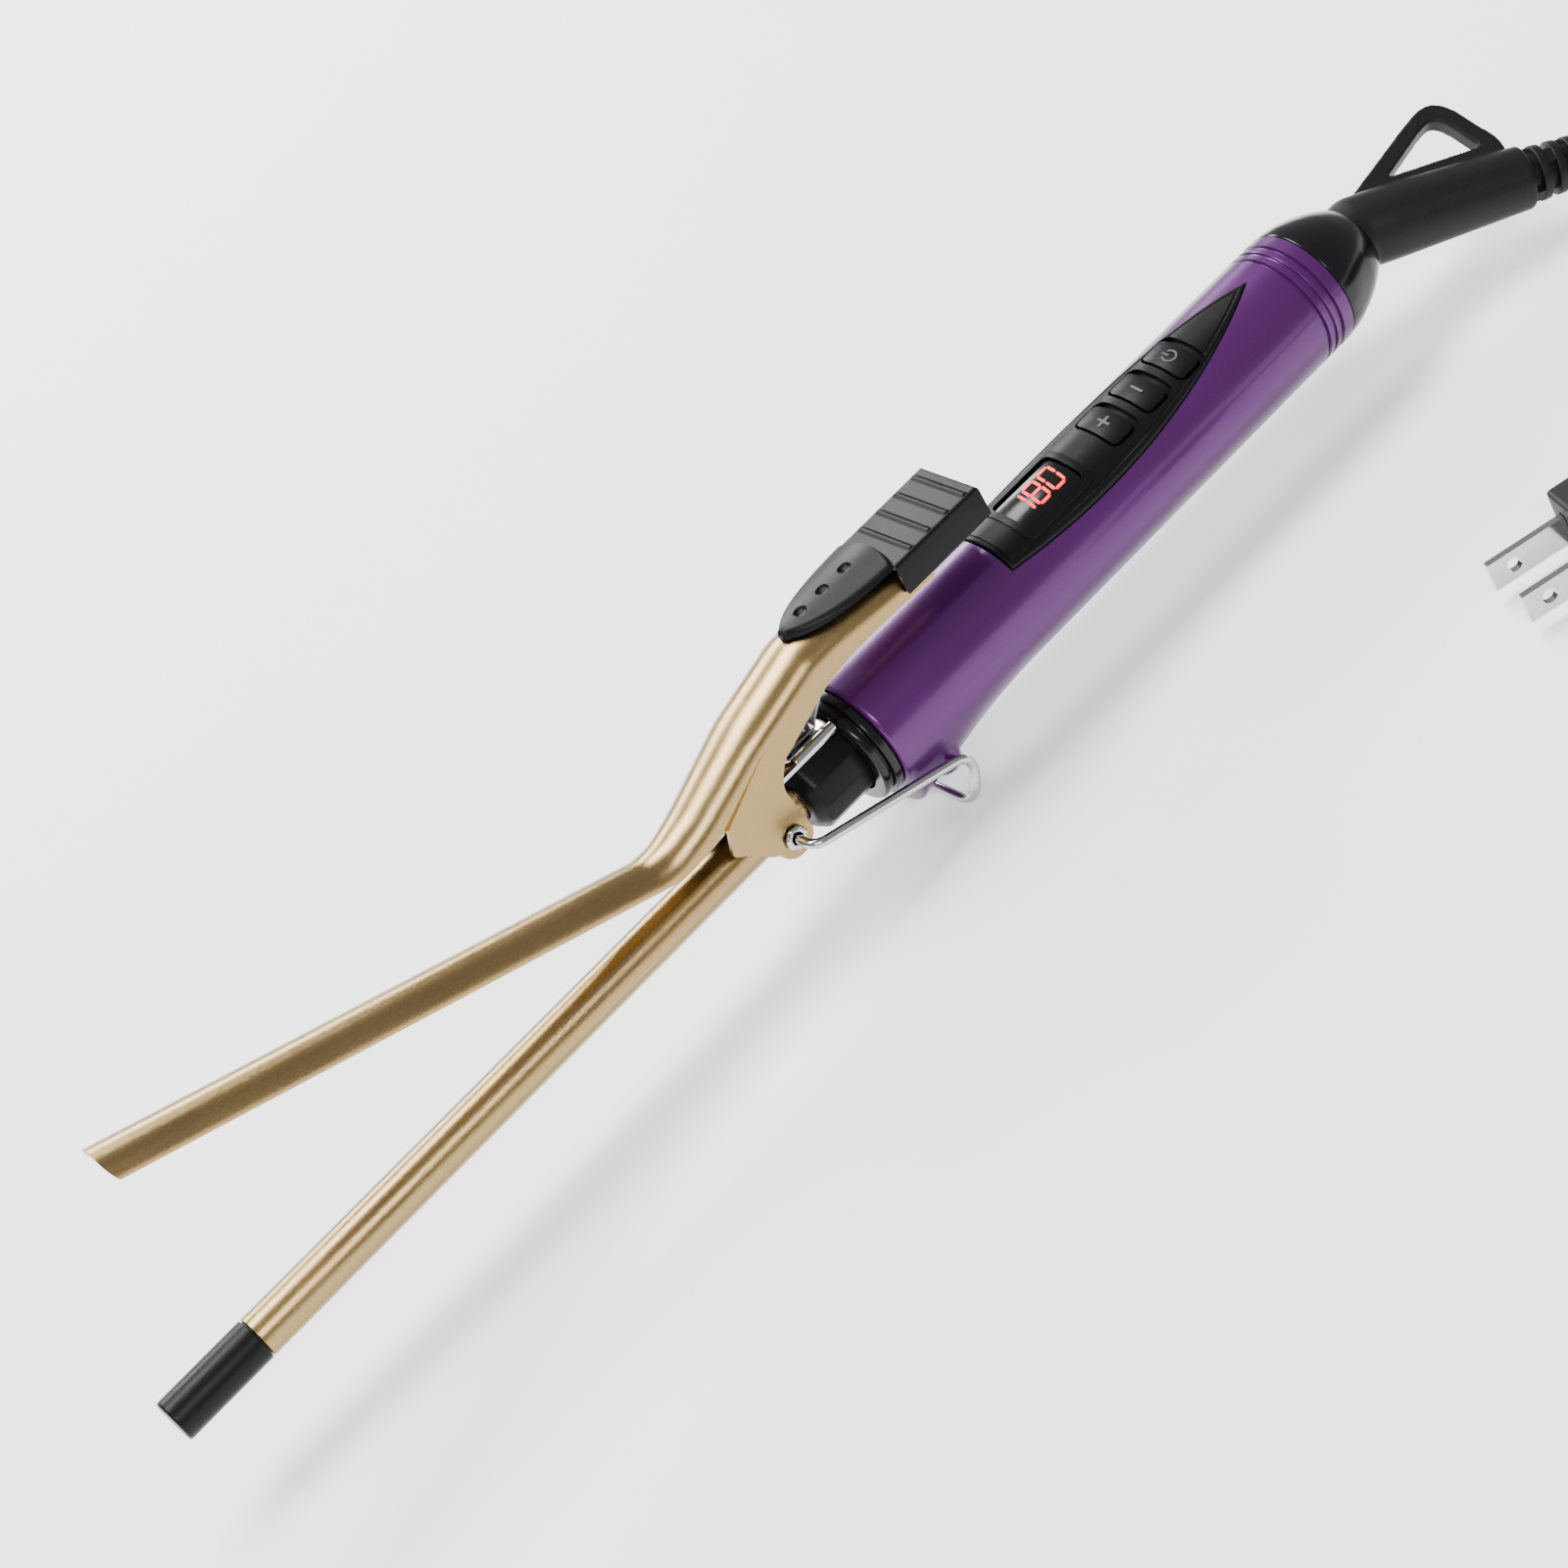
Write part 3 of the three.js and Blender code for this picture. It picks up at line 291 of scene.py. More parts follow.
def block(name, x, y, z, corner=0.0):
    outline = [(x[0], y[0], corner), (x[1], y[0], corner), (x[1], y[1], corner), (x[0], y[1], corner)]
    return prism(name, soft(outline) if corner else [p[:2] for p in outline], *z)


def bake(made):
    """Applies the modifiers."""
    graph = bpy.context.evaluated_depsgraph_get()
    mesh = bpy.data.meshes.new_from_object(made.evaluated_get(graph))
    made.modifiers.clear()
    made.data = mesh
    return made


def combine(made, operation, *tools):
    for tool in tools:
        modifier = made.modifiers.new("combine", "BOOLEAN")
        modifier.operation = operation
        modifier.solver = "EXACT"
        modifier.object = tool
        bake(made)
        bpy.data.objects.remove(tool)
    return made


def bevel(made, width, segments=3, angle=30):
    modifier = made.modifiers.new("bevel", "BEVEL")
    modifier.width = width
    modifier.segments = segments
    modifier.limit_method = "ANGLE"
    modifier.angle_limit = math.radians(angle)
    modifier.harden_normals = False
    return bake(made)


def moved(made, matrix):
    made.data.transform(matrix)
    return made


def merged(made, *others):
    """Puts the meshes of other objects into this one, as they are."""
    work = bmesh.new()
    for part in (made, *others):
        work.from_mesh(part.data)
    work.to_mesh(made.data)
    work.free()
    for part in others:
        bpy.data.objects.remove(part)
    return made


def settle(made, body, material, slot, *nodes, sharp=38):
    """The last step for a piece: metres, shading, finish, and the body and CAD nodes it goes with."""
    made.data.transform(Matrix.Scale(MM, 4))
    face_out(made)
    made.data.shade_smooth()
    made.data.set_sharp_from_angle(angle=math.radians(sharp))
    made.data.materials.clear()
    made.data.materials.append(material)
    if nodes:
        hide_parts(*nodes)
    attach(made, body)
    return made


def panel_frame(made):
    return moved(made, Matrix.Rotation(PANEL_TURN, 4, "X"))


def tail_frame(made):
    place = Matrix.Translation((ELBOW_X, 0, 0)) @ Matrix.Rotation(-TAIL_TURN, 4, "X")
    return moved(made, place @ Matrix.Rotation(TAIL_BEND, 4, "Y"))


def sheet_between(name, xs, half, top, bottom, across=49):
    """A closed piece between a top and a bottom surface, over a plan of half width half(x)."""
    vertices = []
    for x in xs:
        width = half(x)
        for surface in (top, bottom):
            for t in np.linspace(-1, 1, across):
                vertices.append((x, t * width, surface(x, t * width, width)))
    row = 2 * across
    faces = []
    for i in range(len(xs) - 1):
        a, b = i * row, (i + 1) * row
        for k in range(across - 1):
            faces.append((a + k, a + k + 1, b + k + 1, b + k))
            faces.append((a + across + k, b + across + k, b + across + k + 1, a + across + k + 1))
        faces.append((a, b, b + across, a + across))
        faces.append((a + across - 1, a + row - 1, b + row - 1, b + across - 1))
    for a in (0, (len(xs) - 1) * row):
        for k in range(across - 1):
            faces.append((a + k, a + across + k, a + across + k + 1, a + k + 1))
    return face_out(mesh_object(name, vertices, faces))


def rim(distance, width, depth):
    """How far a rounded edge has dropped at a distance inside it."""
    if distance >= width:
        return 0.0
    share = 1 - max(distance, 0) / width
    return depth * (1 - math.sqrt(max(0.0, 1 - share * share)))


# ---------------------------------------------------------------- cord
LEAD_ROUTE = [
    (392.7, -28.4, -16.4), (398.1, -30.9, -17.8), (405, -34, -19), (413, -37.6, -19.5),
    (423, -42.1, -19.3), (433.5, -46.8, -19.3),
]
END_ROUTE = [
    (399.3, -130, -13.3), (388, -125.9, -13.3), (373.9, -120.8, -14), (359.8, -115.6, -17),
    (346.7, -110.8, -19.8), (335.4, -106.7, -19.3), (326, -103.3, -17.4), (320.3, -101.3, -17),
]


def through(points, spacing=2.0):
    """A smooth line through points, evenly spaced: centripetal Catmull-Rom."""
    p = [np.array(q, float) for q in points]
    p = [2 * p[0] - p[1], *p, 2 * p[-1] - p[-2]]
    out = []
    for a, b, c, d in zip(p, p[1:], p[2:], p[3:]):
        knots = [0.0]
        for u, v in ((a, b), (b, c), (c, d)):
            knots.append(knots[-1] + math.sqrt(np.linalg.norm(v - u)))
        steps = max(2, int(np.linalg.norm(c - b) / spacing))
        for t in np.linspace(knots[1], knots[2], steps, endpoint=False):
            def between(i, j, low, high):
                return ((knots[j] - t) * low + (t - knots[i]) * high) / (knots[j] - knots[i])

            a1, a2, a3 = between(0, 1, a, b), between(1, 2, b, c), between(2, 3, c, d)
            out.append(between(1, 2, between(0, 2, a1, a2), between(1, 3, a2, a3)))
    out.append(p[-2])
    return out


def ease(value, low, high):
    t = min(1.0, max(0.0, (value - low) / (high - low)))
    return t * t * (3 - 2 * t)


def coil_line(step=6):
    """The wound turns: a layer inwards, a climb at the middle and a layer back outwards."""
    start = math.degrees(math.atan2(LEAD_ROUTE[-1][1] - COIL_CENTRE[1], LEAD_ROUTE[-1][0] - COIL_CENTRE[0]))
    end = math.degrees(math.atan2(END_ROUTE[0][1] - COIL_CENTRE[1], END_ROUTE[0][0] - COIL_CENTRE[0]))
    whole = start - end + 360 * (2 * COIL_COLUMNS - 1)
    pitch = 2 * CORD_R
    outer = COIL_INNER_R + (COIL_COLUMNS - 1) * pitch
    inwards = [(360 * turn - 45, 360 * turn) for turn in range(1, COIL_COLUMNS)]
    climb = (360 * COIL_COLUMNS - 135, 360 * COIL_COLUMNS - 45)
    outwards = [(360 * (COIL_COLUMNS + turn) - 180, 360 * (COIL_COLUMNS + turn) - 135)
                for turn in range(1, COIL_COLUMNS)]
    line = []
    for wound in np.arange(step, whole - step / 2, step):
        r = outer - sum(pitch * ease(wound, *span) for span in inwards)
        r += sum(pitch * ease(wound, *span) for span in outwards)
        a = math.radians(start - wound)
        z = COIL_FLOOR + pitch * ease(wound, *climb)
        line.append(np.array((COIL_CENTRE[0] + r * math.cos(a), COIL_CENTRE[1] + r * math.sin(a), z)))
    return line


def wire_object(name, points, radius, resolution=6):
    curve = bpy.data.curves.new(name, "CURVE")
    curve.dimensions = "3D"
    curve.bevel_depth = radius * MM
    curve.bevel_resolution = resolution
    curve.use_fill_caps = True
    spline = curve.splines.new("POLY")
    spline.points.add(len(points) - 1)
    for target, point in zip(spline.points, points):
        target.co = (*[float(c) * MM for c in point], 1)
    spline.use_smooth = True
    made = bpy.data.objects.new(name, curve)
    bpy.context.scene.collection.objects.link(made)
    return made


def make_cord():
    line = through(LEAD_ROUTE) + coil_line() + through(END_ROUTE)
    length = sum(float(np.linalg.norm(b - a)) for a, b in zip(line, line[1:]))
    cord = wire_object("lead", line, CORD_R)
    cord.data.materials.append(SOFT_BLACK)
    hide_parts("cord_lead", "cord_coil", "cord_end")
    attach(cord, "tail")
    return cord, line, length


def plug_place():
    before, last = END_ROUTE[-2:]
    turn = math.atan2(last[1] - before[1], last[0] - before[0])
    low, high = reach("plug_body", 2)
    return Matrix.Translation((last[0], last[1], (low + high) / 2)) @ Matrix.Rotation(turn, 4, "Z")


def make_plug():
    half, height = 11, 6.5
    plan = soft([(8, -5), (9, -half, 5), (36, -half, 1.2), (36, half, 1.2), (9, half, 5), (8, 5)], steps=8)
    body = bevel(prism("plug", plan, -height, height), 1.3, 4, 50)
    neck = turned("neck", soft([(GAP, 3.2), (GAP, 3.8, 0.3), (9, 4.8), (9, 3.2)], False), 48)
    combine(body, "UNION", neck)
    grooves = []
    for x in (17, 20, 23, 26):
        for face in (-height, height):
            grooves.append(block("grip", (x, x + 1), (-half - 1, half + 1), (face - 0.35, face + 0.35)))
    ends = [block(f"slot{side}", (27.7, 40), (side * 6.35 - 1.05, side * 6.35 + 1.05), (-3.45, 3.45))
            for side in (-1, 1)]
    combine(body, "DIFFERENCE", *grooves, *ends)
    moved(body, plug_place())
    return settle(body, "tail", SOFT_BLACK, "cord_black", "plug_body")


def make_tie():
    """A flat strap round the coil's turns."""
    low_x, high_x = COIL_INNER_R - CORD_R - 1.9, COIL_INNER_R + 7 * CORD_R + 1.2
    low_z, high_z = reach("cord_tie", 2)
    outer = soft([(low_x, low_z, 2), (high_x, low_z, 2), (high_x, high_z, 2), (low_x, high_z, 2)], steps=6)
    t = 0.9
    inner = soft([(low_x + t, low_z + t, 1.4), (high_x - t, low_z + t, 1.4), (high_x - t, high_z - t, 1.4),
                  (low_x + t, high_z - t, 1.4)], steps=6)
    strap = prism("cord_strap", outer, -4.5, 4.5, upright=False)
    combine(strap, "DIFFERENCE", prism("hole", inner, -9, 9, upright=False))
    bevel(strap, 0.2, 2, 50)
    moved(strap, Matrix.Translation((*COIL_CENTRE, 0)) @ Matrix.Rotation(math.radians(-25), 4, "Z"))
    return settle(strap, "tail", BLACK_SATIN, "black_satin", "cord_tie")


cord, cord_line, cord_length = make_cord()
plug = make_plug()
strap = make_tie()


# ---------------------------------------------------------------- barrel and neck
def make_barrel():
    tip = turned("cool_tip", soft([
        (0, 3.4), (0, BARREL_R, 0.8), (TIP_END, BARREL_R, 0.25), (TIP_END, 3.7), (TIP_END + 7, 3.7),
    ], False, 7))
    settle(tip, "root", BLACK_SATIN, "black_satin", "tip_cap")
    bore = BARREL_R - 0.5
    tube = turned("barrel", soft([
        (TUBE_START, bore), (TUBE_START, BARREL_R, 0.2), (TUBE_END, BARREL_R), (TUBE_END, bore),
    ]), 128, closed=True)
    settle(tube, "root", GOLD, "gold_metal", "barrel_tube")


def make_neck():
    bore = BARREL_R + GAP
    end = COLLAR_START + 4.2
    neck = turned("neck", soft([
        (NECK_START, bore), (NECK_START, NECK_R - 2.4, 0.6), (NECK_START + 2.4, NECK_R, 0.8),
        (end, NECK_R), (end, NECK_R - 1), (NECK_END, NECK_R - 1), (NECK_END, bore),
    ]), 12, closed=True)
    settle(bevel(neck, 0.3, 3, 25), "root", BLACK_SATIN, "black_satin", "neck_block", sharp=24)


def make_collar():
    inner, end = NECK_R + GAP, COLLAR_START + 4.2
    seat = HANDLE_BORE_R - GAP
    x = COLLAR_START
    ring = turned("collar", soft([
        (x, inner), (x, COLLAR_R - 1, 0.4), (x + 0.5, COLLAR_R - 0.6, 0.3), (x + 1.6, COLLAR_R - 0.6, 0.15),
        (x + 1.75, COLLAR_R - 1.3, 0.15), (x + 2.3, COLLAR_R - 1.3, 0.15), (x + 2.45, COLLAR_R, 0.3),
        (end, COLLAR_R, 0.3), (end, seat), (end + 7, seat), (end + 7, inner),
    ]), 160, closed=True)
    settle(ring, "root", BLACK_GLOSS, "black_gloss", "collar_ring")


def make_bracket():
    front, rear = PIVOT_X - 4.5, NECK_START + 13
    thick = 0.9
    bridge = block("bracket", (front, rear), (-CHEEK_OUT, CHEEK_OUT), (SADDLE_Z, SADDLE_Z + thick), 0.8)
    side = soft([
        (front, SADDLE_Z + 0.2), (front, PIVOT_Z - 2, 1.5), (PIVOT_X - 2, PIVOT_Z - 4.2, 1.5),
        (PIVOT_X + 2, PIVOT_Z - 4.2, 1), (PIVOT_X + 3.3, PIVOT_Z - 1, 1), (PIVOT_X + 2.4, SADDLE_Z + 0.2),
    ])
    cheeks = [prism(f"cheek{s}", side, *sorted((s * CHEEK_OUT, s * (CHEEK_OUT - thick))), upright=False)
              for s in (-1, 1)]
    rolls = [moved(turned(f"roll{s}", soft([
        (NECK_START + 2.4, 0.5), (NECK_START + 2.4, 1.2, 0.3), (NECK_START + 13.2, 1.2, 0.3),
        (NECK_START + 13.2, 0.5)], False), 40), Matrix.Translation((0, s * 5, SADDLE_Z + 0.6)))
        for s in (-1, 1)]
    combine(bridge, "UNION", *cheeks, *rolls)
    pin = moved(turned("pin", [(-20, 2.2), (20, 2.2)], 48), Matrix.Rotation(math.pi / 2, 4, "Z"))
    moved(pin, Matrix.Translation((PIVOT_X, 0, PIVOT_Z)))
    barrel = turned("way", [(front - 1, BARREL_R + GAP), (NECK_START + 2, BARREL_R + GAP)], 64)
    combine(bridge, "DIFFERENCE", pin, barrel)
    settle(bevel(bridge, 0.15, 2, 40), "root", CHROME, "bright_steel", "hinge_bracket")


def standing(made, x, y):
    return moved(made, Matrix.Translation((x, y, 0)) @ Matrix.Rotation(-math.pi / 2, 4, "Y"))


def make_screw():
    under = SADDLE_Z + 0.9 + GAP + 0.5 + GAP
    head = turned("bracket_screw_head", soft([
        (6, 0.6), (6, 1.2), (under, 1.2), (under, 2.4, 0.2), (under + 1.6, 2.4, 0.9), (under + 1.6, 1.0),
    ], False, 7), 64)
    standing(head, SCREW_X, 0)
    slots = [block(f"slot{i}", (SCREW_X - a, SCREW_X + a), (-b, b), (under + 0.7, under + 2))
             for i, (a, b) in enumerate(((1.6, 0.27), (0.27, 1.6)))]
    combine(head, "DIFFERENCE", *slots)
    moved(head, Matrix.Translation((SCREW_X, 0, 0)) @ Matrix.Rotation(math.radians(25), 4, "Z")
          @ Matrix.Translation((-SCREW_X, 0, 0)))
    settle(head, "root", CHROME, "bright_steel", "bracket_screw")


def make_rivet(side, name, node):
    """A hollow rivet whose mouth is rolled over in petals."""
    outer, inner = EAR_OUT + GAP, CHEEK_OUT - 0.9 - GAP

    def petals(a, y):
        return 1 + 0.07 * max(0, y - outer) * math.cos(7 * a) if y > outer else 1

    ring = turned(name, soft([
        (inner, 1.3), (inner, 1.9), (outer, 1.9), (outer, 2.5, 0.25), (outer + 0.55, 2.5, 0.35),
        (outer + 0.9, 1.9, 0.25), (outer + 0.75, 1.3, 0.2),
    ]), 84, closed=True, wave=petals)
    moved(ring, Matrix.Translation((PIVOT_X, 0, PIVOT_Z)) @ Matrix.Rotation(side * math.pi / 2, 4, "Z"))
    settle(ring, "root", CHROME, "bright_steel", node)


def make_stand():
    half, end = 13.5, CHEEK_OUT - 0.9
    arm, hook = 39.5, 11.5
    down, turn = math.radians(16.5), math.radians(16.5 + 98)
    corner = (PIVOT_X + arm * math.cos(down), PIVOT_Z - arm * math.sin(down))
    foot = (corner[0] + hook * math.cos(turn), corner[1] - hook * math.sin(turn))
    round_offs = (3, 5.6, 5.6, 5.6, 5.6, 3)
    route = [
        (PIVOT_X, -end, PIVOT_Z), (PIVOT_X, -half, PIVOT_Z), (corner[0], -half, corner[1]),
        (foot[0], -half, foot[1]), (foot[0], half, foot[1]), (corner[0], half, corner[1]),
        (PIVOT_X, half, PIVOT_Z), (PIVOT_X, end, PIVOT_Z),
    ]
    line = [np.array(route[0])]
    for round_off, before, here, after in zip(round_offs, route, route[1:], route[2:]):
        here = np.array(here)
        back, on = np.array(before) - here, np.array(after) - here
        a = here + round_off * back / np.linalg.norm(back)
        b = here + round_off * on / np.linalg.norm(on)
        line += [(1 - t) ** 2 * a + 2 * t * (1 - t) * here + t * t * b for t in np.linspace(0, 1, 13)]
    line.append(np.array(route[-1]))
    wire = wire_object("stand_wire", line, 1, 8)
    wire.data.materials.append(CHROME)
    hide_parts("kick_stand")
    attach(wire, "stand")


# ---------------------------------------------------------------- clip and lever
def from_lever(x, z):
    """A point of the level thumb plate's frame in the closed clip's frame, both about the hinge line."""
    p = math.radians(CLIP_OPEN)
    return x * math.cos(p) - z * math.sin(p), x * math.sin(p) + z * math.cos(p)


def clip_stations():
    """Rows of x, z, tilt, half width, crown, arc and side drop, smoothed along the clip."""
    r = BARREL_R + 1.15
    top = r - PIVOT_Z
    arm = r - r * math.cos(math.radians(75)) + 0.3
    under = 29.2
    rows = np.array([
        (-CLIP_REACH, top, 0, r, r, 75, arm), (-29.4, top, 0, r, r, 75, arm),
        (-25.5, top + 1.2, 20, r + 0.25, r - 0.1, 80, arm + 1), (-20, top + 5, 38, r + 0.95, r - 0.4, 88, 6),
        (-6, top + 17.5, 41, EAR_OUT, r - 0.4, 90, 10.5),
        (*from_lever(20.4, under), 32, EAR_OUT, r - 0.4, 90, 8.8),
        (*from_lever(28, under), 20, EAR_OUT, r - 0.4, 90, 8),
        (*from_lever(37, under - 0.9), 14, EAR_OUT, r - 0.4, 90, 7),
        (*from_lever(53, under - 2.6), 11, EAR_OUT, r - 0.4, 90, 6),
    ])
    fine = np.arange(rows[0, 0], rows[-1, 0], 0.5)
    dense = np.stack([fine] + [np.interp(fine, rows[:, 0], rows[:, k]) for k in range(1, 7)], 1)
    window = np.hanning(11) / np.hanning(11).sum()
    padded = np.concatenate([np.repeat(dense[:1], 5, 0), dense, np.repeat(dense[-1:], 5, 0)])
    smooth = np.stack([np.convolve(padded[:, k], window, "valid") for k in range(7)], 1)
    smooth[:, 0] = fine
    return smooth


def channel(name, rows, thick=0.8, arc_steps=20):
    vertices, faces = [], []
    for x, z, tilt, half, crown, arc, drop in rows:
        for inset, backwards in ((0, False), (thick, True)):
            angles = np.radians(arc) * np.linspace(1, -1, arc_steps + 1)
            side = [(-(half - inset) * math.sin(a), (crown - inset) * math.cos(a) - crown) for a in angles]
            side = [(side[0][0], -drop), *side, (side[-1][0], -drop)]
            for y, h in reversed(side) if backwards else side:
                lean = math.radians(tilt)
                vertices.append((x - h * math.sin(lean), y, z + h * math.cos(lean)))
    ring = 2 * (arc_steps + 3)
    for s in range(len(rows) - 1):
        for i in range(ring):
            j = (i + 1) % ring
            faces.append((s * ring + i, s * ring + j, (s + 1) * ring + j, (s + 1) * ring + i))
    for start in (0, (len(rows) - 1) * ring):
        for i in range(ring // 2 - 1):
            far = ring - 1 - i
            faces.append((start + i, start + i + 1, start + far - 1, start + far))
    return face_out(mesh_object(name, vertices, faces))


def make_clip():
    sheet = channel("clip_arm", clip_stations())
    arc = [(4.4 * math.cos(a), 4.4 * math.sin(a)) for a in np.linspace(1.15 * math.pi, 2.02 * math.pi, 24)]
    ear = soft([
        (-14, 8), (-14, 2.2, 1), (-9.6, 0.8, 2), (-5.2, -2, 1), *arc, (1.4, 6.7, 2), (-0.5, 10.5, 2),
        (0.4, 14.7, 2.5), (3, 19.5, 3), (8, 24.5), (-4, 19),
    ])
    ears = [prism(f"ear{s}", ear, *sorted((s * EAR_IN, s * EAR_OUT)), upright=False) for s in (-1, 1)]
    combine(sheet, "UNION", *ears)
    quarter = Matrix.Rotation(math.pi / 2, 4, "Z")
    hole = moved(turned("hole", [(-20, 2.2), (20, 2.2)], 48), quarter)
    top = BARREL_R + 1.15 - PIVOT_Z
    end = block("end", (-CLIP_REACH - 2, -CLIP_REACH + 5), (-9, 9), (top - 9, top + 1.5))
    nose = moved(turned("nose", [(-10, 9), (10, 9)], 128), quarter)
    combine(end, "DIFFERENCE", moved(nose, Matrix.Translation((-CLIP_REACH + 8.7, 0, top + 1.9))))
    combine(sheet, "DIFFERENCE", hole, end)
    place = Matrix.Translation((PIVOT_X, 0, PIVOT_Z)) @ Matrix.Rotation(math.radians(CLIP_OPEN), 4, "Y")
    moved(sheet, place)
    settle(sheet, "clip", GOLD, "gold_metal", "clip", sharp=32)


def bezier(a, b, c, t):
    return (1 - t) ** 2 * a + 2 * t * (1 - t) * b + t * t * c


def lever_half(x):
    """Half the thumb plate's width: a pointed leaf that widens into the ribbed box."""
    if x >= LEVER_SHOULDER:
        return LEVER_HALF
    ts = np.linspace(0, 1, 80)
    nose = LEVER_NOSE + 1
    along = bezier(LEVER_SHOULDER, LEVER_SHOULDER - 17, nose, ts)
    width = bezier(LEVER_HALF, LEVER_HALF - 0.4, 1.6, ts)
    if x <= nose:
        share = max(0.0, (x - LEVER_NOSE) / (nose - LEVER_NOSE))
        return 0.05 + 1.55 * math.sqrt(1 - (1 - share) ** 2)
    return float(np.interp(x, along[::-1], width[::-1]))


DIMPLES = [LEVER_NOSE + d for d in (6.2, 12.3, 18.4)]
RIBS = [LEVER_SHOULDER + 5.1 + 5 * i for i in range(4)]


def lever_top(x, y, half):
    crown = LEVER_TOP - LEVER_CROWN_R + math.sqrt(LEVER_CROWN_R ** 2 - y * y)
    edge = min(half - abs(y), 0.8 * (x - LEVER_NOSE))
    crown -= rim(edge, 1.5, crown - LEVER_Z + 0.1)
    for centre in DIMPLES:
        off = math.hypot(x - centre, y)
        crown -= 0.75 * math.sqrt(max(0.0, 1 - (off / 1.35) ** 2)) if off < 1.35 else 0
    step = LEVER_SHOULDER + 1.6 - 2.2 * (y / LEVER_HALF) ** 2
    if x < step - 0.35:
        return crown
    plane = LEVER_Z - rim(min(LEVER_HALF - abs(y), LEVER_END - x), 0.7, 0.7)
    for rib in RIBS:
        off = abs(x - rib)
        if off < 0.75 and abs(y) < LEVER_HALF - 0.8:
            plane += 0.36 * math.cos(off / 0.75 * math.pi / 2)
    return crown + (plane - crown) * ease(x, step - 0.35, step + 0.35)


def make_lever():
    leaf = np.concatenate([
        LEVER_NOSE + np.linspace(0, 1, 14) ** 2 * 2, np.arange(LEVER_NOSE + 2.2, LEVER_SHOULDER - 0.02, 0.22),
    ])
    box = np.arange(LEVER_SHOULDER, LEVER_END, 0.16)
    xs = [*leaf, LEVER_SHOULDER - 0.01, *box, LEVER_END]

    def bottom(x, y, half):
        return LEVER_Z - 0.12 if x < LEVER_SHOULDER else LEVER_BOTTOM

    cover = sheet_between("thumb_cover", xs, lever_half, lever_top, bottom, 97)
    wall = 0.75
    hollow = block("hollow", (LEVER_SHOULDER - 1, LEVER_END - wall), (-LEVER_HALF + wall, LEVER_HALF - wall),
                   (LEVER_BOTTOM - 1, LEVER_Z - 1.2))
    combine(cover, "DIFFERENCE", hollow)
    settle(cover, "clip", BLACK_SATIN, "black_satin", "lever_cover", sharp=35)


# ---------------------------------------------------------------- handle
def ray(y, z, centre_y, centre_z, r2):
    """How far out a ray from the axis leaves a circle, or 0 where it misses."""
    along = y * centre_y + z * centre_z
    inside = along * along - centre_y ** 2 - centre_z ** 2 + r2
    return along + math.sqrt(inside) if inside > 0 else 0.0


def soft_max(a, b, blend):
    share = max(blend - abs(a - b), 0) / blend
    return max(a, b) + share * share * blend / 4


FOOT_DROP, FOOT_RISE, FOOT_R2 = 8, 0.2, 134
GROOVES = [HANDLE_END - 1.6 - 2.1 * i for i in (1, 2, 3)]


def handle_radius(x, angle):
    y, z = math.cos(angle), math.sin(angle)
    r = HANDLE_R
    swell = ease(x, HANDLE_START + 0.9, HANDLE_START + 2.6)
    if x < HANDLE_START + 40 and swell > 0:
        foot = ray(y, z, 0, (x - HANDLE_START - 2) * FOOT_RISE - FOOT_DROP, FOOT_R2)
        r += (soft_max(HANDLE_R, foot, 1.6) - HANDLE_R) * swell
        for side in (-1, 1):
            left = 3.6 ** 2 - (x - HANDLE_START - 10) ** 2
            if left > 0:
                r = soft_max(r, ray(y, z, side * 8.3, -12, left), 1.0)
    r -= rim(x - HANDLE_START, 0.9, 0.9)
    for start in GROOVES:
        middle = abs(x - start - 0.45)
        r -= 0.55 * (1 - ease(middle, 0.3, 0.5))
    return r


def panel_outline(grow, steps=40):
    half = PANEL_HALF + grow
    start, end = PANEL_START - grow, PANEL_END + grow
    t = np.linspace(0, 1, steps)[:, None]
    a, b = np.array((start, half * 0.8)), np.array((start + 22, half * 1.12))
    c, d = np.array((end - 22, half * 1.1)), np.array((end, 0.0))
    upper = (1 - t) ** 3 * a + 3 * t * (1 - t) ** 2 * b + 3 * t * t * (1 - t) * c + t ** 3 * d
    return [tuple(p) for p in upper] + [(x, -y) for x, y in upper[-2::-1]]


def make_handle():
    sides = 224
    xs = np.concatenate([
        HANDLE_START + np.linspace(0, 1, 8) ** 1.5, np.arange(HANDLE_START + 1.3, HANDLE_START + 40, 0.5),
        np.arange(HANDLE_START + 41, GROOVES[-1] - 1, 3.0), np.arange(GROOVES[-1] - 0.6, HANDLE_END, 0.12),
        [HANDLE_END],
    ])
    angles = [2 * math.pi * k / sides for k in range(sides)]
    rows = [(x, [handle_radius(x, a) for a in angles]) for x in xs]
    rows += [(HANDLE_END, [HANDLE_BORE_R] * sides), (HANDLE_START, [HANDLE_BORE_R] * sides)]
    vertices = [(x, r * math.cos(a), r * math.sin(a)) for x, rs in rows for r, a in zip(rs, angles)]
    faces = []
    for i in range(len(rows)):
        j = (i + 1) % len(rows)
        for k in range(sides):
            m = (k + 1) % sides
            faces.append((i * sides + k, i * sides + m, j * sides + m, j * sides + k))
    sleeve = face_out(mesh_object("handle", vertices, faces))
    hole = panel_frame(prism("hole", panel_outline(GAP), 2, HANDLE_R + 5))
    combine(sleeve, "DIFFERENCE", hole)
    settle(sleeve, "root", PURPLE, "purple_satin", "handle_sleeve", sharp=30)


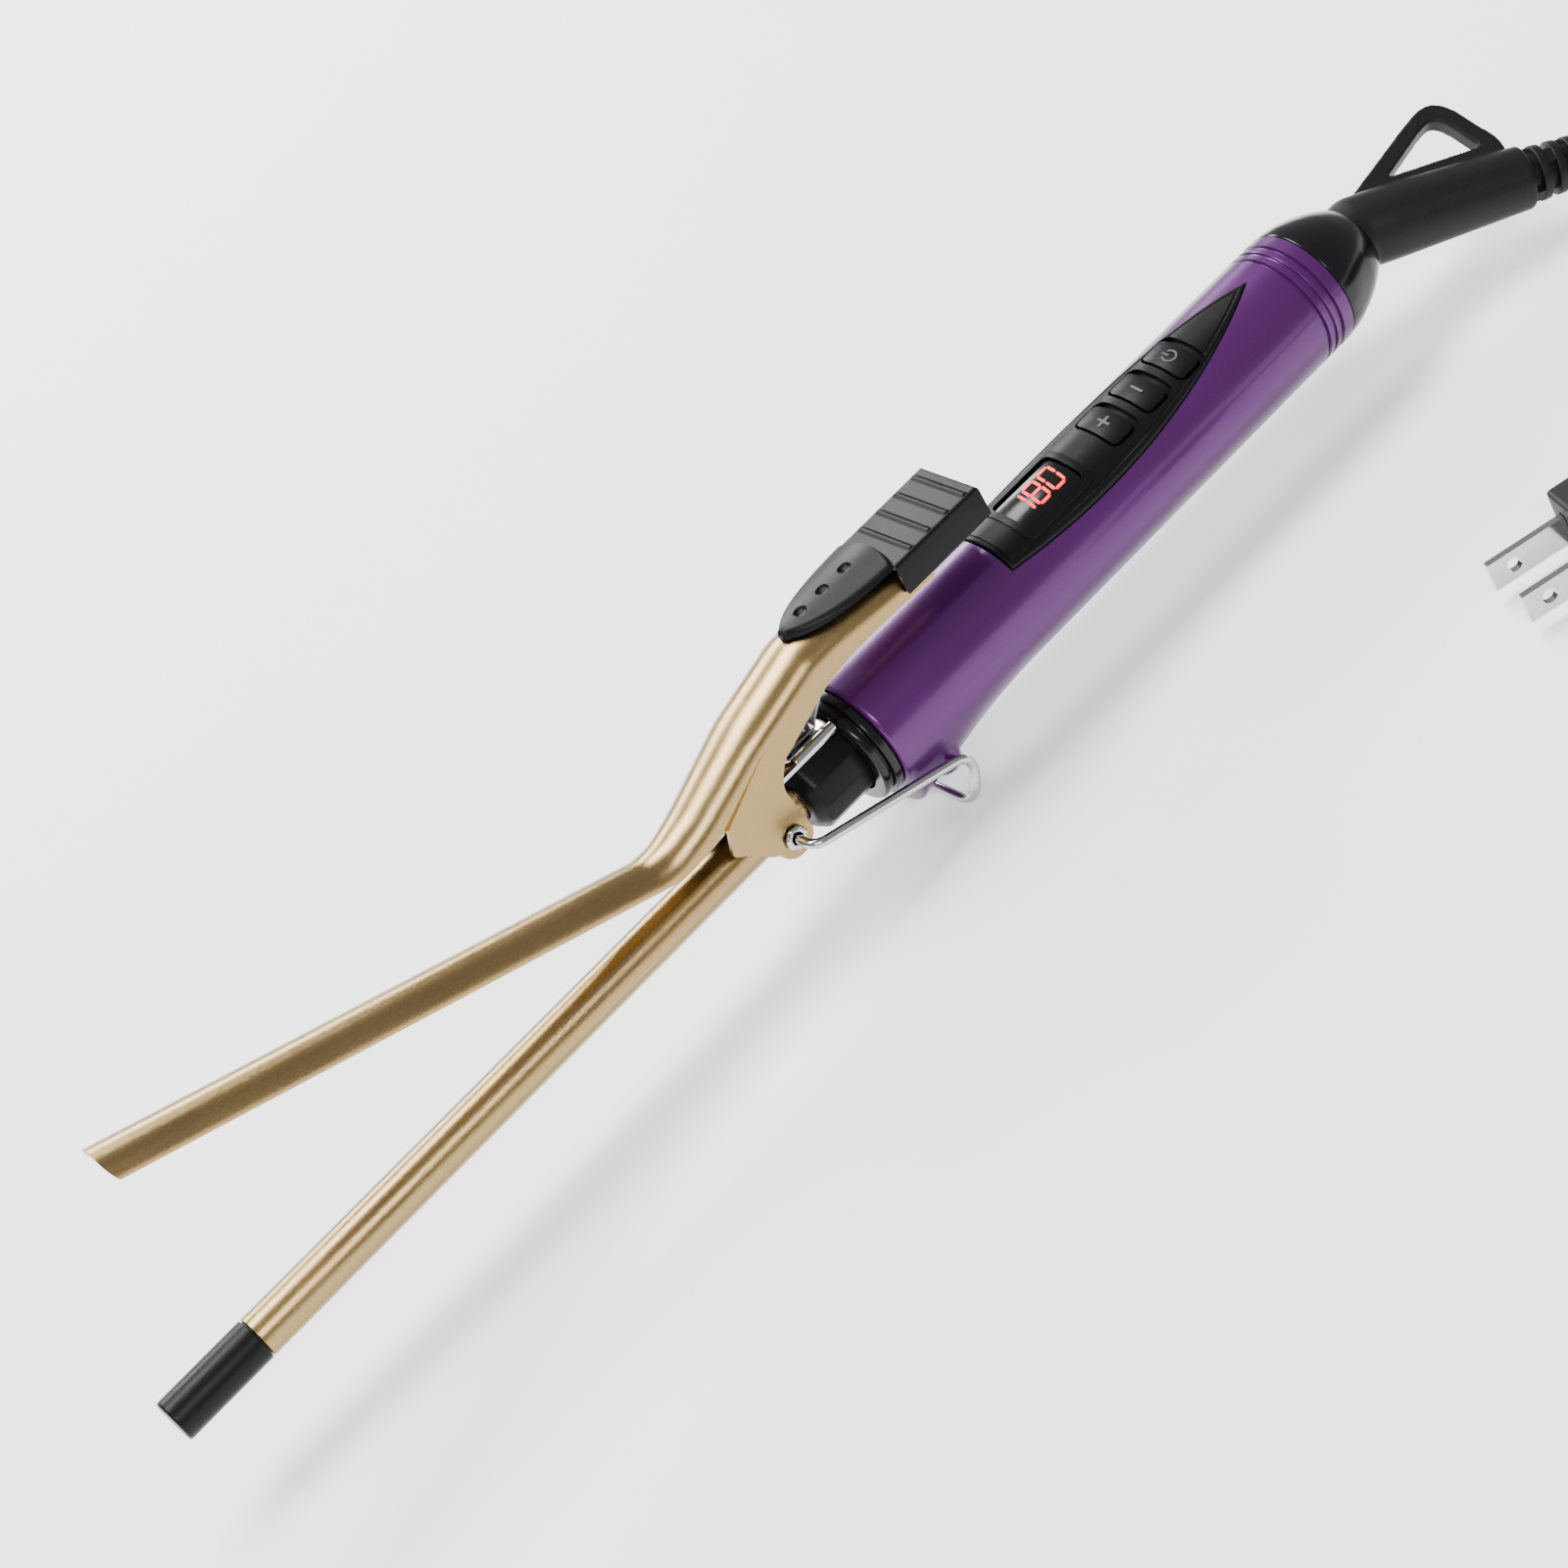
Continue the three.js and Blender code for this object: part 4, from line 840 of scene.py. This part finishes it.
def make_cap():
    seat = HANDLE_BORE_R - GAP
    x = CAP_START
    cap = turned("rear_dome", soft([
        (x - 8, seat - 1.5), (x - 8, seat), (x, seat), (x, HANDLE_R - 0.1, 0.4),
        (x + 3.2, HANDLE_R - 0.35, 1.2), (x + 6.4, HANDLE_R - 1.2, 1.4),
        (x + 9.8, HANDLE_R - 2.5, 1.4), (x + 12.6, HANDLE_R - 4, 1.2),
        (x + 14.1, HANDLE_R - 5, 0.5), (CAP_END, 8.2, 0.3), (CAP_END, 8), (CAP_END - 4, 8),
        (CAP_END - 4, seat - 1.5),
    ]), 160, closed=True)
    settle(cap, "root", BLACK_GLOSS, "black_gloss", "rear_cap", sharp=40)


# ---------------------------------------------------------------- panel
def panel_half(x):
    outline = np.array(panel_outline(0, 120)[:120])
    return max(0.05, float(np.interp(x, outline[:, 0], outline[:, 1])))


def panel_top(x, y, half):
    z = math.sqrt(PANEL_R ** 2 - y * y)
    edge = min((half - abs(y)) * 0.95, x - PANEL_START)
    z -= rim(edge, 0.5, 0.5)
    return z - 0.22 * (1 - ease(abs(edge - 1.1), 0.08, 0.28))


def rounded(x0, x1, half, corner):
    return soft([(x0, -half, corner), (x1, -half, corner), (x1, half, corner), (x0, half, corner)], steps=8)


def make_panel():
    xs = np.concatenate([
        PANEL_START + np.linspace(0, 2, 26), np.linspace(PANEL_START + 2.4, PANEL_END - 14, 120),
        PANEL_END - 14 + 14 * np.linspace(0, 1, 90)[1:] ** 0.7,
    ])

    def bottom(x, y, half):
        return math.sqrt((HANDLE_BORE_R + 0.1) ** 2 - y * y)

    panel = sheet_between("key_panel", xs, panel_half, panel_top, bottom, 129)
    window = prism("hole", rounded(WINDOW_START, WINDOW_END, WINDOW_HALF, 1.5), 4, 20)
    holes = [prism(f"key_hole{i}", rounded(x - GAP, x + KEY_LENGTH + GAP, KEY_HALF + GAP, 1.6), 4, 20)
             for i, x in enumerate(KEY_STARTS)]
    dishes = [curved_block(f"dish{i}", rounded(x - 0.5, x + KEY_LENGTH + 1.7, KEY_HALF + 0.7, 2.2),
                           PANEL_R - 1.1, PANEL_R + 2) for i, x in enumerate(KEY_STARTS)]
    combine(panel, "DIFFERENCE", window, *holes, *dishes)
    panel_frame(panel)
    settle(panel, "root", BLACK_SATIN, "black_gloss", "control_panel", sharp=30)


def curved_block(name, outline, inner, outer, edge=0.0):
    body = prism(name, outline, 4, outer + 2)
    xs = [p[0] for p in outline]
    shell = turned("shell", [(min(xs) - 2, inner), (min(xs) - 2, outer), (max(xs) + 2, outer),
                             (max(xs) + 2, inner)], 360, closed=True)
    combine(body, "INTERSECT", shell)
    return bevel(body, edge, 3, 45) if edge else body


def make_frame():
    """The raised, chamfered frame round the display."""
    border = 1.6
    outline = rounded(WINDOW_START - border, WINDOW_END + border, WINDOW_HALF + border, 2.2)
    outer = curved_block("display_frame", outline, PANEL_R - 0.5, PANEL_R + 0.3, 0.35)
    combine(outer, "DIFFERENCE", prism("hole", rounded(WINDOW_START, WINDOW_END, WINDOW_HALF, 1.5), 4, 20))
    panel_frame(outer)
    settle(outer, "root", BLACK_SATIN, "black_gloss", sharp=30)


def make_window():
    outline = rounded(WINDOW_START + GAP, WINDOW_END - GAP, WINDOW_HALF - GAP, 1.2)
    glass = curved_block("display_glass", outline, HANDLE_BORE_R + 0.6, GLASS_R, 0.15)
    panel_frame(glass)
    settle(glass, "root", GLASS, "display_glass", "display_window")


SEGMENTS = {"1": "bc", "8": "abcdefg", "0": "abcdef"}


def digit_segments(shown, left, width=3.0, height=5.6, bar=0.62):
    """The lit bars of a digit in X and Y, reading along +X with its top towards +Y."""
    middle, top = 0.0, height / 2
    places = {
        "a": ((0, top), (width, top)), "g": ((0, middle), (width, middle)), "d": ((0, -top), (width, -top)),
        "f": ((0, middle), (0, top)), "b": ((width, middle), (width, top)),
        "e": ((0, -top), (0, middle)), "c": ((width, -top), (width, middle)),
    }
    outlines = []
    for segment in SEGMENTS[shown]:
        (x0, y0), (x1, y1) = places[segment]
        along = np.array((x1 - x0, y1 - y0)) / math.hypot(x1 - x0, y1 - y0)
        across = np.array((-along[1], along[0])) * bar / 2
        a, b = np.array((x0, y0)) + along * 0.12, np.array((x1, y1)) - along * 0.12
        tip = along * bar / 2
        points = [a, a + tip + across, b - tip + across, b, b - tip - across, a + tip - across]
        outlines.append([(left + p[0] + 0.1 * p[1], p[1]) for p in points])
    return outlines


def make_digits():
    r = GLASS_R
    vertices, faces = [], []
    for i, shown in enumerate("180"):
        for outline in digit_segments(shown, WINDOW_START + 2.1 + 4.3 * i):
            start = len(vertices)
            count = len(outline)
            for lift in (-0.1, 0.12):
                vertices += [(x, y, math.sqrt(r * r - y * y) + lift) for x, y in outline]
            faces += [tuple(start + k for k in range(count)), tuple(start + count + k for k in range(count))]
            for k in range(count):
                m = (k + 1) % count
                faces.append((start + k, start + m, start + count + m, start + count + k))
    digits = panel_frame(face_out(mesh_object("display_digits", vertices, faces)))
    settle(digits, "root", DIGIT, "display_glass")


def mark_bars(kind):
    """Outlines in X and Y of a key's moulded mark, about its middle."""
    if kind == "plus":
        return [[(-0.28, -1.5), (0.28, -1.5), (0.28, 1.5), (-0.28, 1.5)],
                [(-1.5, -0.28), (-0.29, -0.28), (-0.29, 0.28), (-1.5, 0.28)],
                [(0.29, -0.28), (1.5, -0.28), (1.5, 0.28), (0.29, 0.28)]]
    if kind == "minus":
        return [[(-0.28, -1.5), (0.28, -1.5), (0.28, 1.5), (-0.28, 1.5)]]
    bars = [[(-0.2, 0.2), (0.2, 0.2), (0.2, 1.9), (-0.2, 1.9)]]
    turns = np.radians(np.linspace(125, 415, 30))
    for a, b in zip(turns, turns[1:]):
        bars.append([(r * math.cos(t), r * math.sin(t)) for r, t in ((1.2, a), (1.6, a), (1.6, b), (1.2, b))])
    return bars


def make_key(x, kind, body, node):
    top = PANEL_R + 0.3
    outline = rounded(x, x + KEY_LENGTH, KEY_HALF, 1.4)
    key = curved_block(f"key_{kind}", outline, HANDLE_BORE_R - 0.1, top, 0.45)
    panel_frame(key)
    settle(key, body, BLACK_SATIN, "black_satin", node)
    vertices, faces = [], []
    for outline in mark_bars(kind):
        start = len(vertices)
        for lift in (-0.2, 0.2):
            vertices += [(x + KEY_LENGTH / 2 + a, b, math.sqrt(top * top - b * b) + lift) for a, b in outline]
        faces += [tuple(start + k for k in range(4)), tuple(start + 4 + k for k in range(4))]
        faces += [(start + k, start + (k + 1) % 4, start + 4 + (k + 1) % 4, start + 4 + k) for k in range(4)]
    mark = panel_frame(face_out(mesh_object(f"mark_{kind}", vertices, faces)))
    settle(mark, body, MARK, "black_satin")


# ---------------------------------------------------------------- tail
def make_tail():
    """Elbow, sleeve and hanging loop, melted together so that their joints are filleted."""
    neck, ring_r, hub_r = TAIL_ROOT_R - 0.9, TAIL_ROOT_R, 4.5
    hub_start, ring_start = CAP_START - 9, CAP_END - 6.6 + 2.3
    root = turned("tail", soft([
        (hub_start, hub_r), (CAP_START, hub_r), (CAP_START, neck), (ring_start, neck), (ring_start, ring_r),
        (ELBOW_X, ring_r),
    ], False), 96)
    work = bmesh.new()
    bmesh.ops.create_uvsphere(work, u_segments=96, v_segments=64, radius=TAIL_ROOT_R)
    elbow = mesh_object("elbow", [], [])
    work.to_mesh(elbow.data)
    work.free()
    moved(elbow, Matrix.Translation((ELBOW_X, 0, 0)))
    sleeve = tail_frame(turned("sleeve", soft([
        (0, 5), (0, TAIL_ROOT_R, 0.5), (5, TAIL_ROOT_R + 0.1, 2), (SLEEVE_LENGTH, SLEEVE_END_R, 0.7),
        (SLEEVE_LENGTH, 5),
    ], False), 96))
    outline = soft([
        (-1, 3), (-1, 5.5), (20, 20.6, 3), (25, 23.2, 3), (29, 21, 3), (35.5, 9.5, 2), (35.5, 3),
    ], steps=10)
    loop = prism("loop", outline, -2, 2, upright=False)
    hole = soft([
        (10.5, 9.2, 1.2), (21, 17.2, 2), (24.4, 19.2, 2.5), (26.8, 17.4, 2.5), (31.2, 9.2, 1.4),
    ], steps=10)
    combine(loop, "DIFFERENCE", prism("hole", hole, -4, 4, upright=False))
    tail_frame(bevel(loop, 0.7, 3, 50))
    combine(root, "UNION", elbow, sleeve, loop)
    melt = root.modifiers.new("melt", "REMESH")
    melt.mode = "VOXEL"
    melt.voxel_size = 0.3
    bake(root)
    smooth = root.modifiers.new("smooth", "SMOOTH")
    smooth.factor, smooth.iterations = 0.5, 7
    bake(root)
    settle(root, "tail", TAIL_BLACK, "black_satin", "swivel_sleeve", sharp=60)


def make_relief():
    """A tapered core carrying rings, joined by bars that change sides from ring to ring."""
    start = SLEEVE_LENGTH + GAP
    pitch = RELIEF_LENGTH / RELIEF_RIBS

    def outer(x):
        return RELIEF_R - (RELIEF_R - RELIEF_END_R) * (x - start) / RELIEF_LENGTH

    end = start + RELIEF_LENGTH
    core = turned("strain_relief", [(start, 3.0), (start, outer(start) - 1.5), (end - 0.3, outer(end) - 1.1),
                                    (end, outer(end) - 1.3), (end, 3.0)], 64)
    parts = []
    for i in range(RELIEF_RIBS):
        low, high = start + (i + 0.45) * pitch, start + (i + 1) * pitch
        parts.append(turned(f"ring{i}", soft([
            (low, 2.6), (low, outer(low), 0.35), (high, outer(high), 0.35), (high, 2.6),
        ], False), 64))
        for side in (-1, 1):
            r = outer(low)
            y, z = ((-1.5, 1.5), (side * 2.6, side * (r - 0.25)))
            if i % 2:
                y, z = z, y
            parts.append(block(f"bar{i}{side}", (start + i * pitch - 0.2, low + 0.2), sorted(y), sorted(z)))
    tail_frame(merged(core, *parts))
    settle(core, "tail", SOFT_BLACK, "cord_black", "strain_relief", sharp=38)
    return core


# ---------------------------------------------------------------- what stays as the CAD made it
CARRIED = {
    "heater_rod": CERAMIC, "heater_lead_near": WIRE_RED, "heater_lead_far": WIRE_RED,
    "thermal_sensor": CERAMIC, "clip_spring": SPRING, "contact_carrier": CERAMIC,
    "contact_brush_front": BRASS, "contact_brush_rear": BRASS, "contact_ring_front": BRASS,
    "contact_ring_rear": BRASS, "swivel_retainer": SPRING, "display_module": BLACK_SATIN,
    "circuit_board": GREEN, "chassis_tray": BLACK_SATIN, "board_screw_front": CHROME,
    "board_screw_rear": CHROME, "smoothing_capacitor": SPRING, "switch_plus": BLACK_SATIN,
    "switch_minus": BLACK_SATIN, "switch_power": BLACK_SATIN, "plug_blade_left": CHROME,
    "plug_blade_right": CHROME,
}


def dress_carried():
    for node, material in CARRIED.items():
        mesh = frame["nodes"][node].data
        mesh.materials.clear()
        mesh.materials.append(material)
        mesh.shade_smooth()
        mesh.set_sharp_from_angle(angle=math.radians(35))


# ---------------------------------------------------------------- room and light
def make_room():
    size, z = 3000, GROUND - 0.02
    floor = mesh_object("floor", [(-size, -size, z), (size, -size, z), (size, size, z), (-size, size, z)],
                        [(0, 1, 2, 3)])
    floor.data.transform(Matrix.Scale(MM, 4))
    floor.data.materials.append(FLOOR)
    world = bpy.data.worlds.new("studio")
    world.use_nodes = True
    sky = world.node_tree.nodes["Background"]
    sky.inputs["Color"].default_value = (1, 1, 1, 1)
    sky.inputs["Strength"].default_value = 0.45
    bpy.context.scene.world = world


def make_light(name, place, size, power):
    data = bpy.data.lights.new(name, "AREA")
    data.shape = "RECTANGLE"
    data.size, data.size_y = size
    data.energy = power
    lamp = bpy.data.objects.new(name, data)
    bpy.context.scene.collection.objects.link(lamp)
    lamp.location = place
    aim = Vector((0.2, 0, 0)) - Vector(place)
    lamp.rotation_euler = aim.to_track_quat("-Z", "Y").to_euler()


def build():
    make_barrel()
    make_neck()
    make_collar()
    make_bracket()
    make_screw()
    make_rivet(-1, "rivet_near", "pivot_rivet_near")
    make_rivet(1, "rivet_far", "pivot_rivet_far")
    make_stand()
    make_clip()
    make_lever()
    make_handle()
    make_cap()
    make_panel()
    make_frame()
    make_window()
    make_digits()
    for x, kind in zip(KEY_STARTS, ("plus", "minus", "power")):
        make_key(x, kind, f"{kind}_key", f"button_{kind}")
    make_tail()
    make_relief()
    dress_carried()
    make_room()
    make_light("overhead", (0.1, 0.35, 1.1), (1.2, 0.4), 30)
    make_light("near_side", (-0.2, -0.9, 0.8), (0.9, 0.2), 11)
    make_light("far_side", (0.3, 0.9, 0.5), (0.9, 0.2), 14)


build()
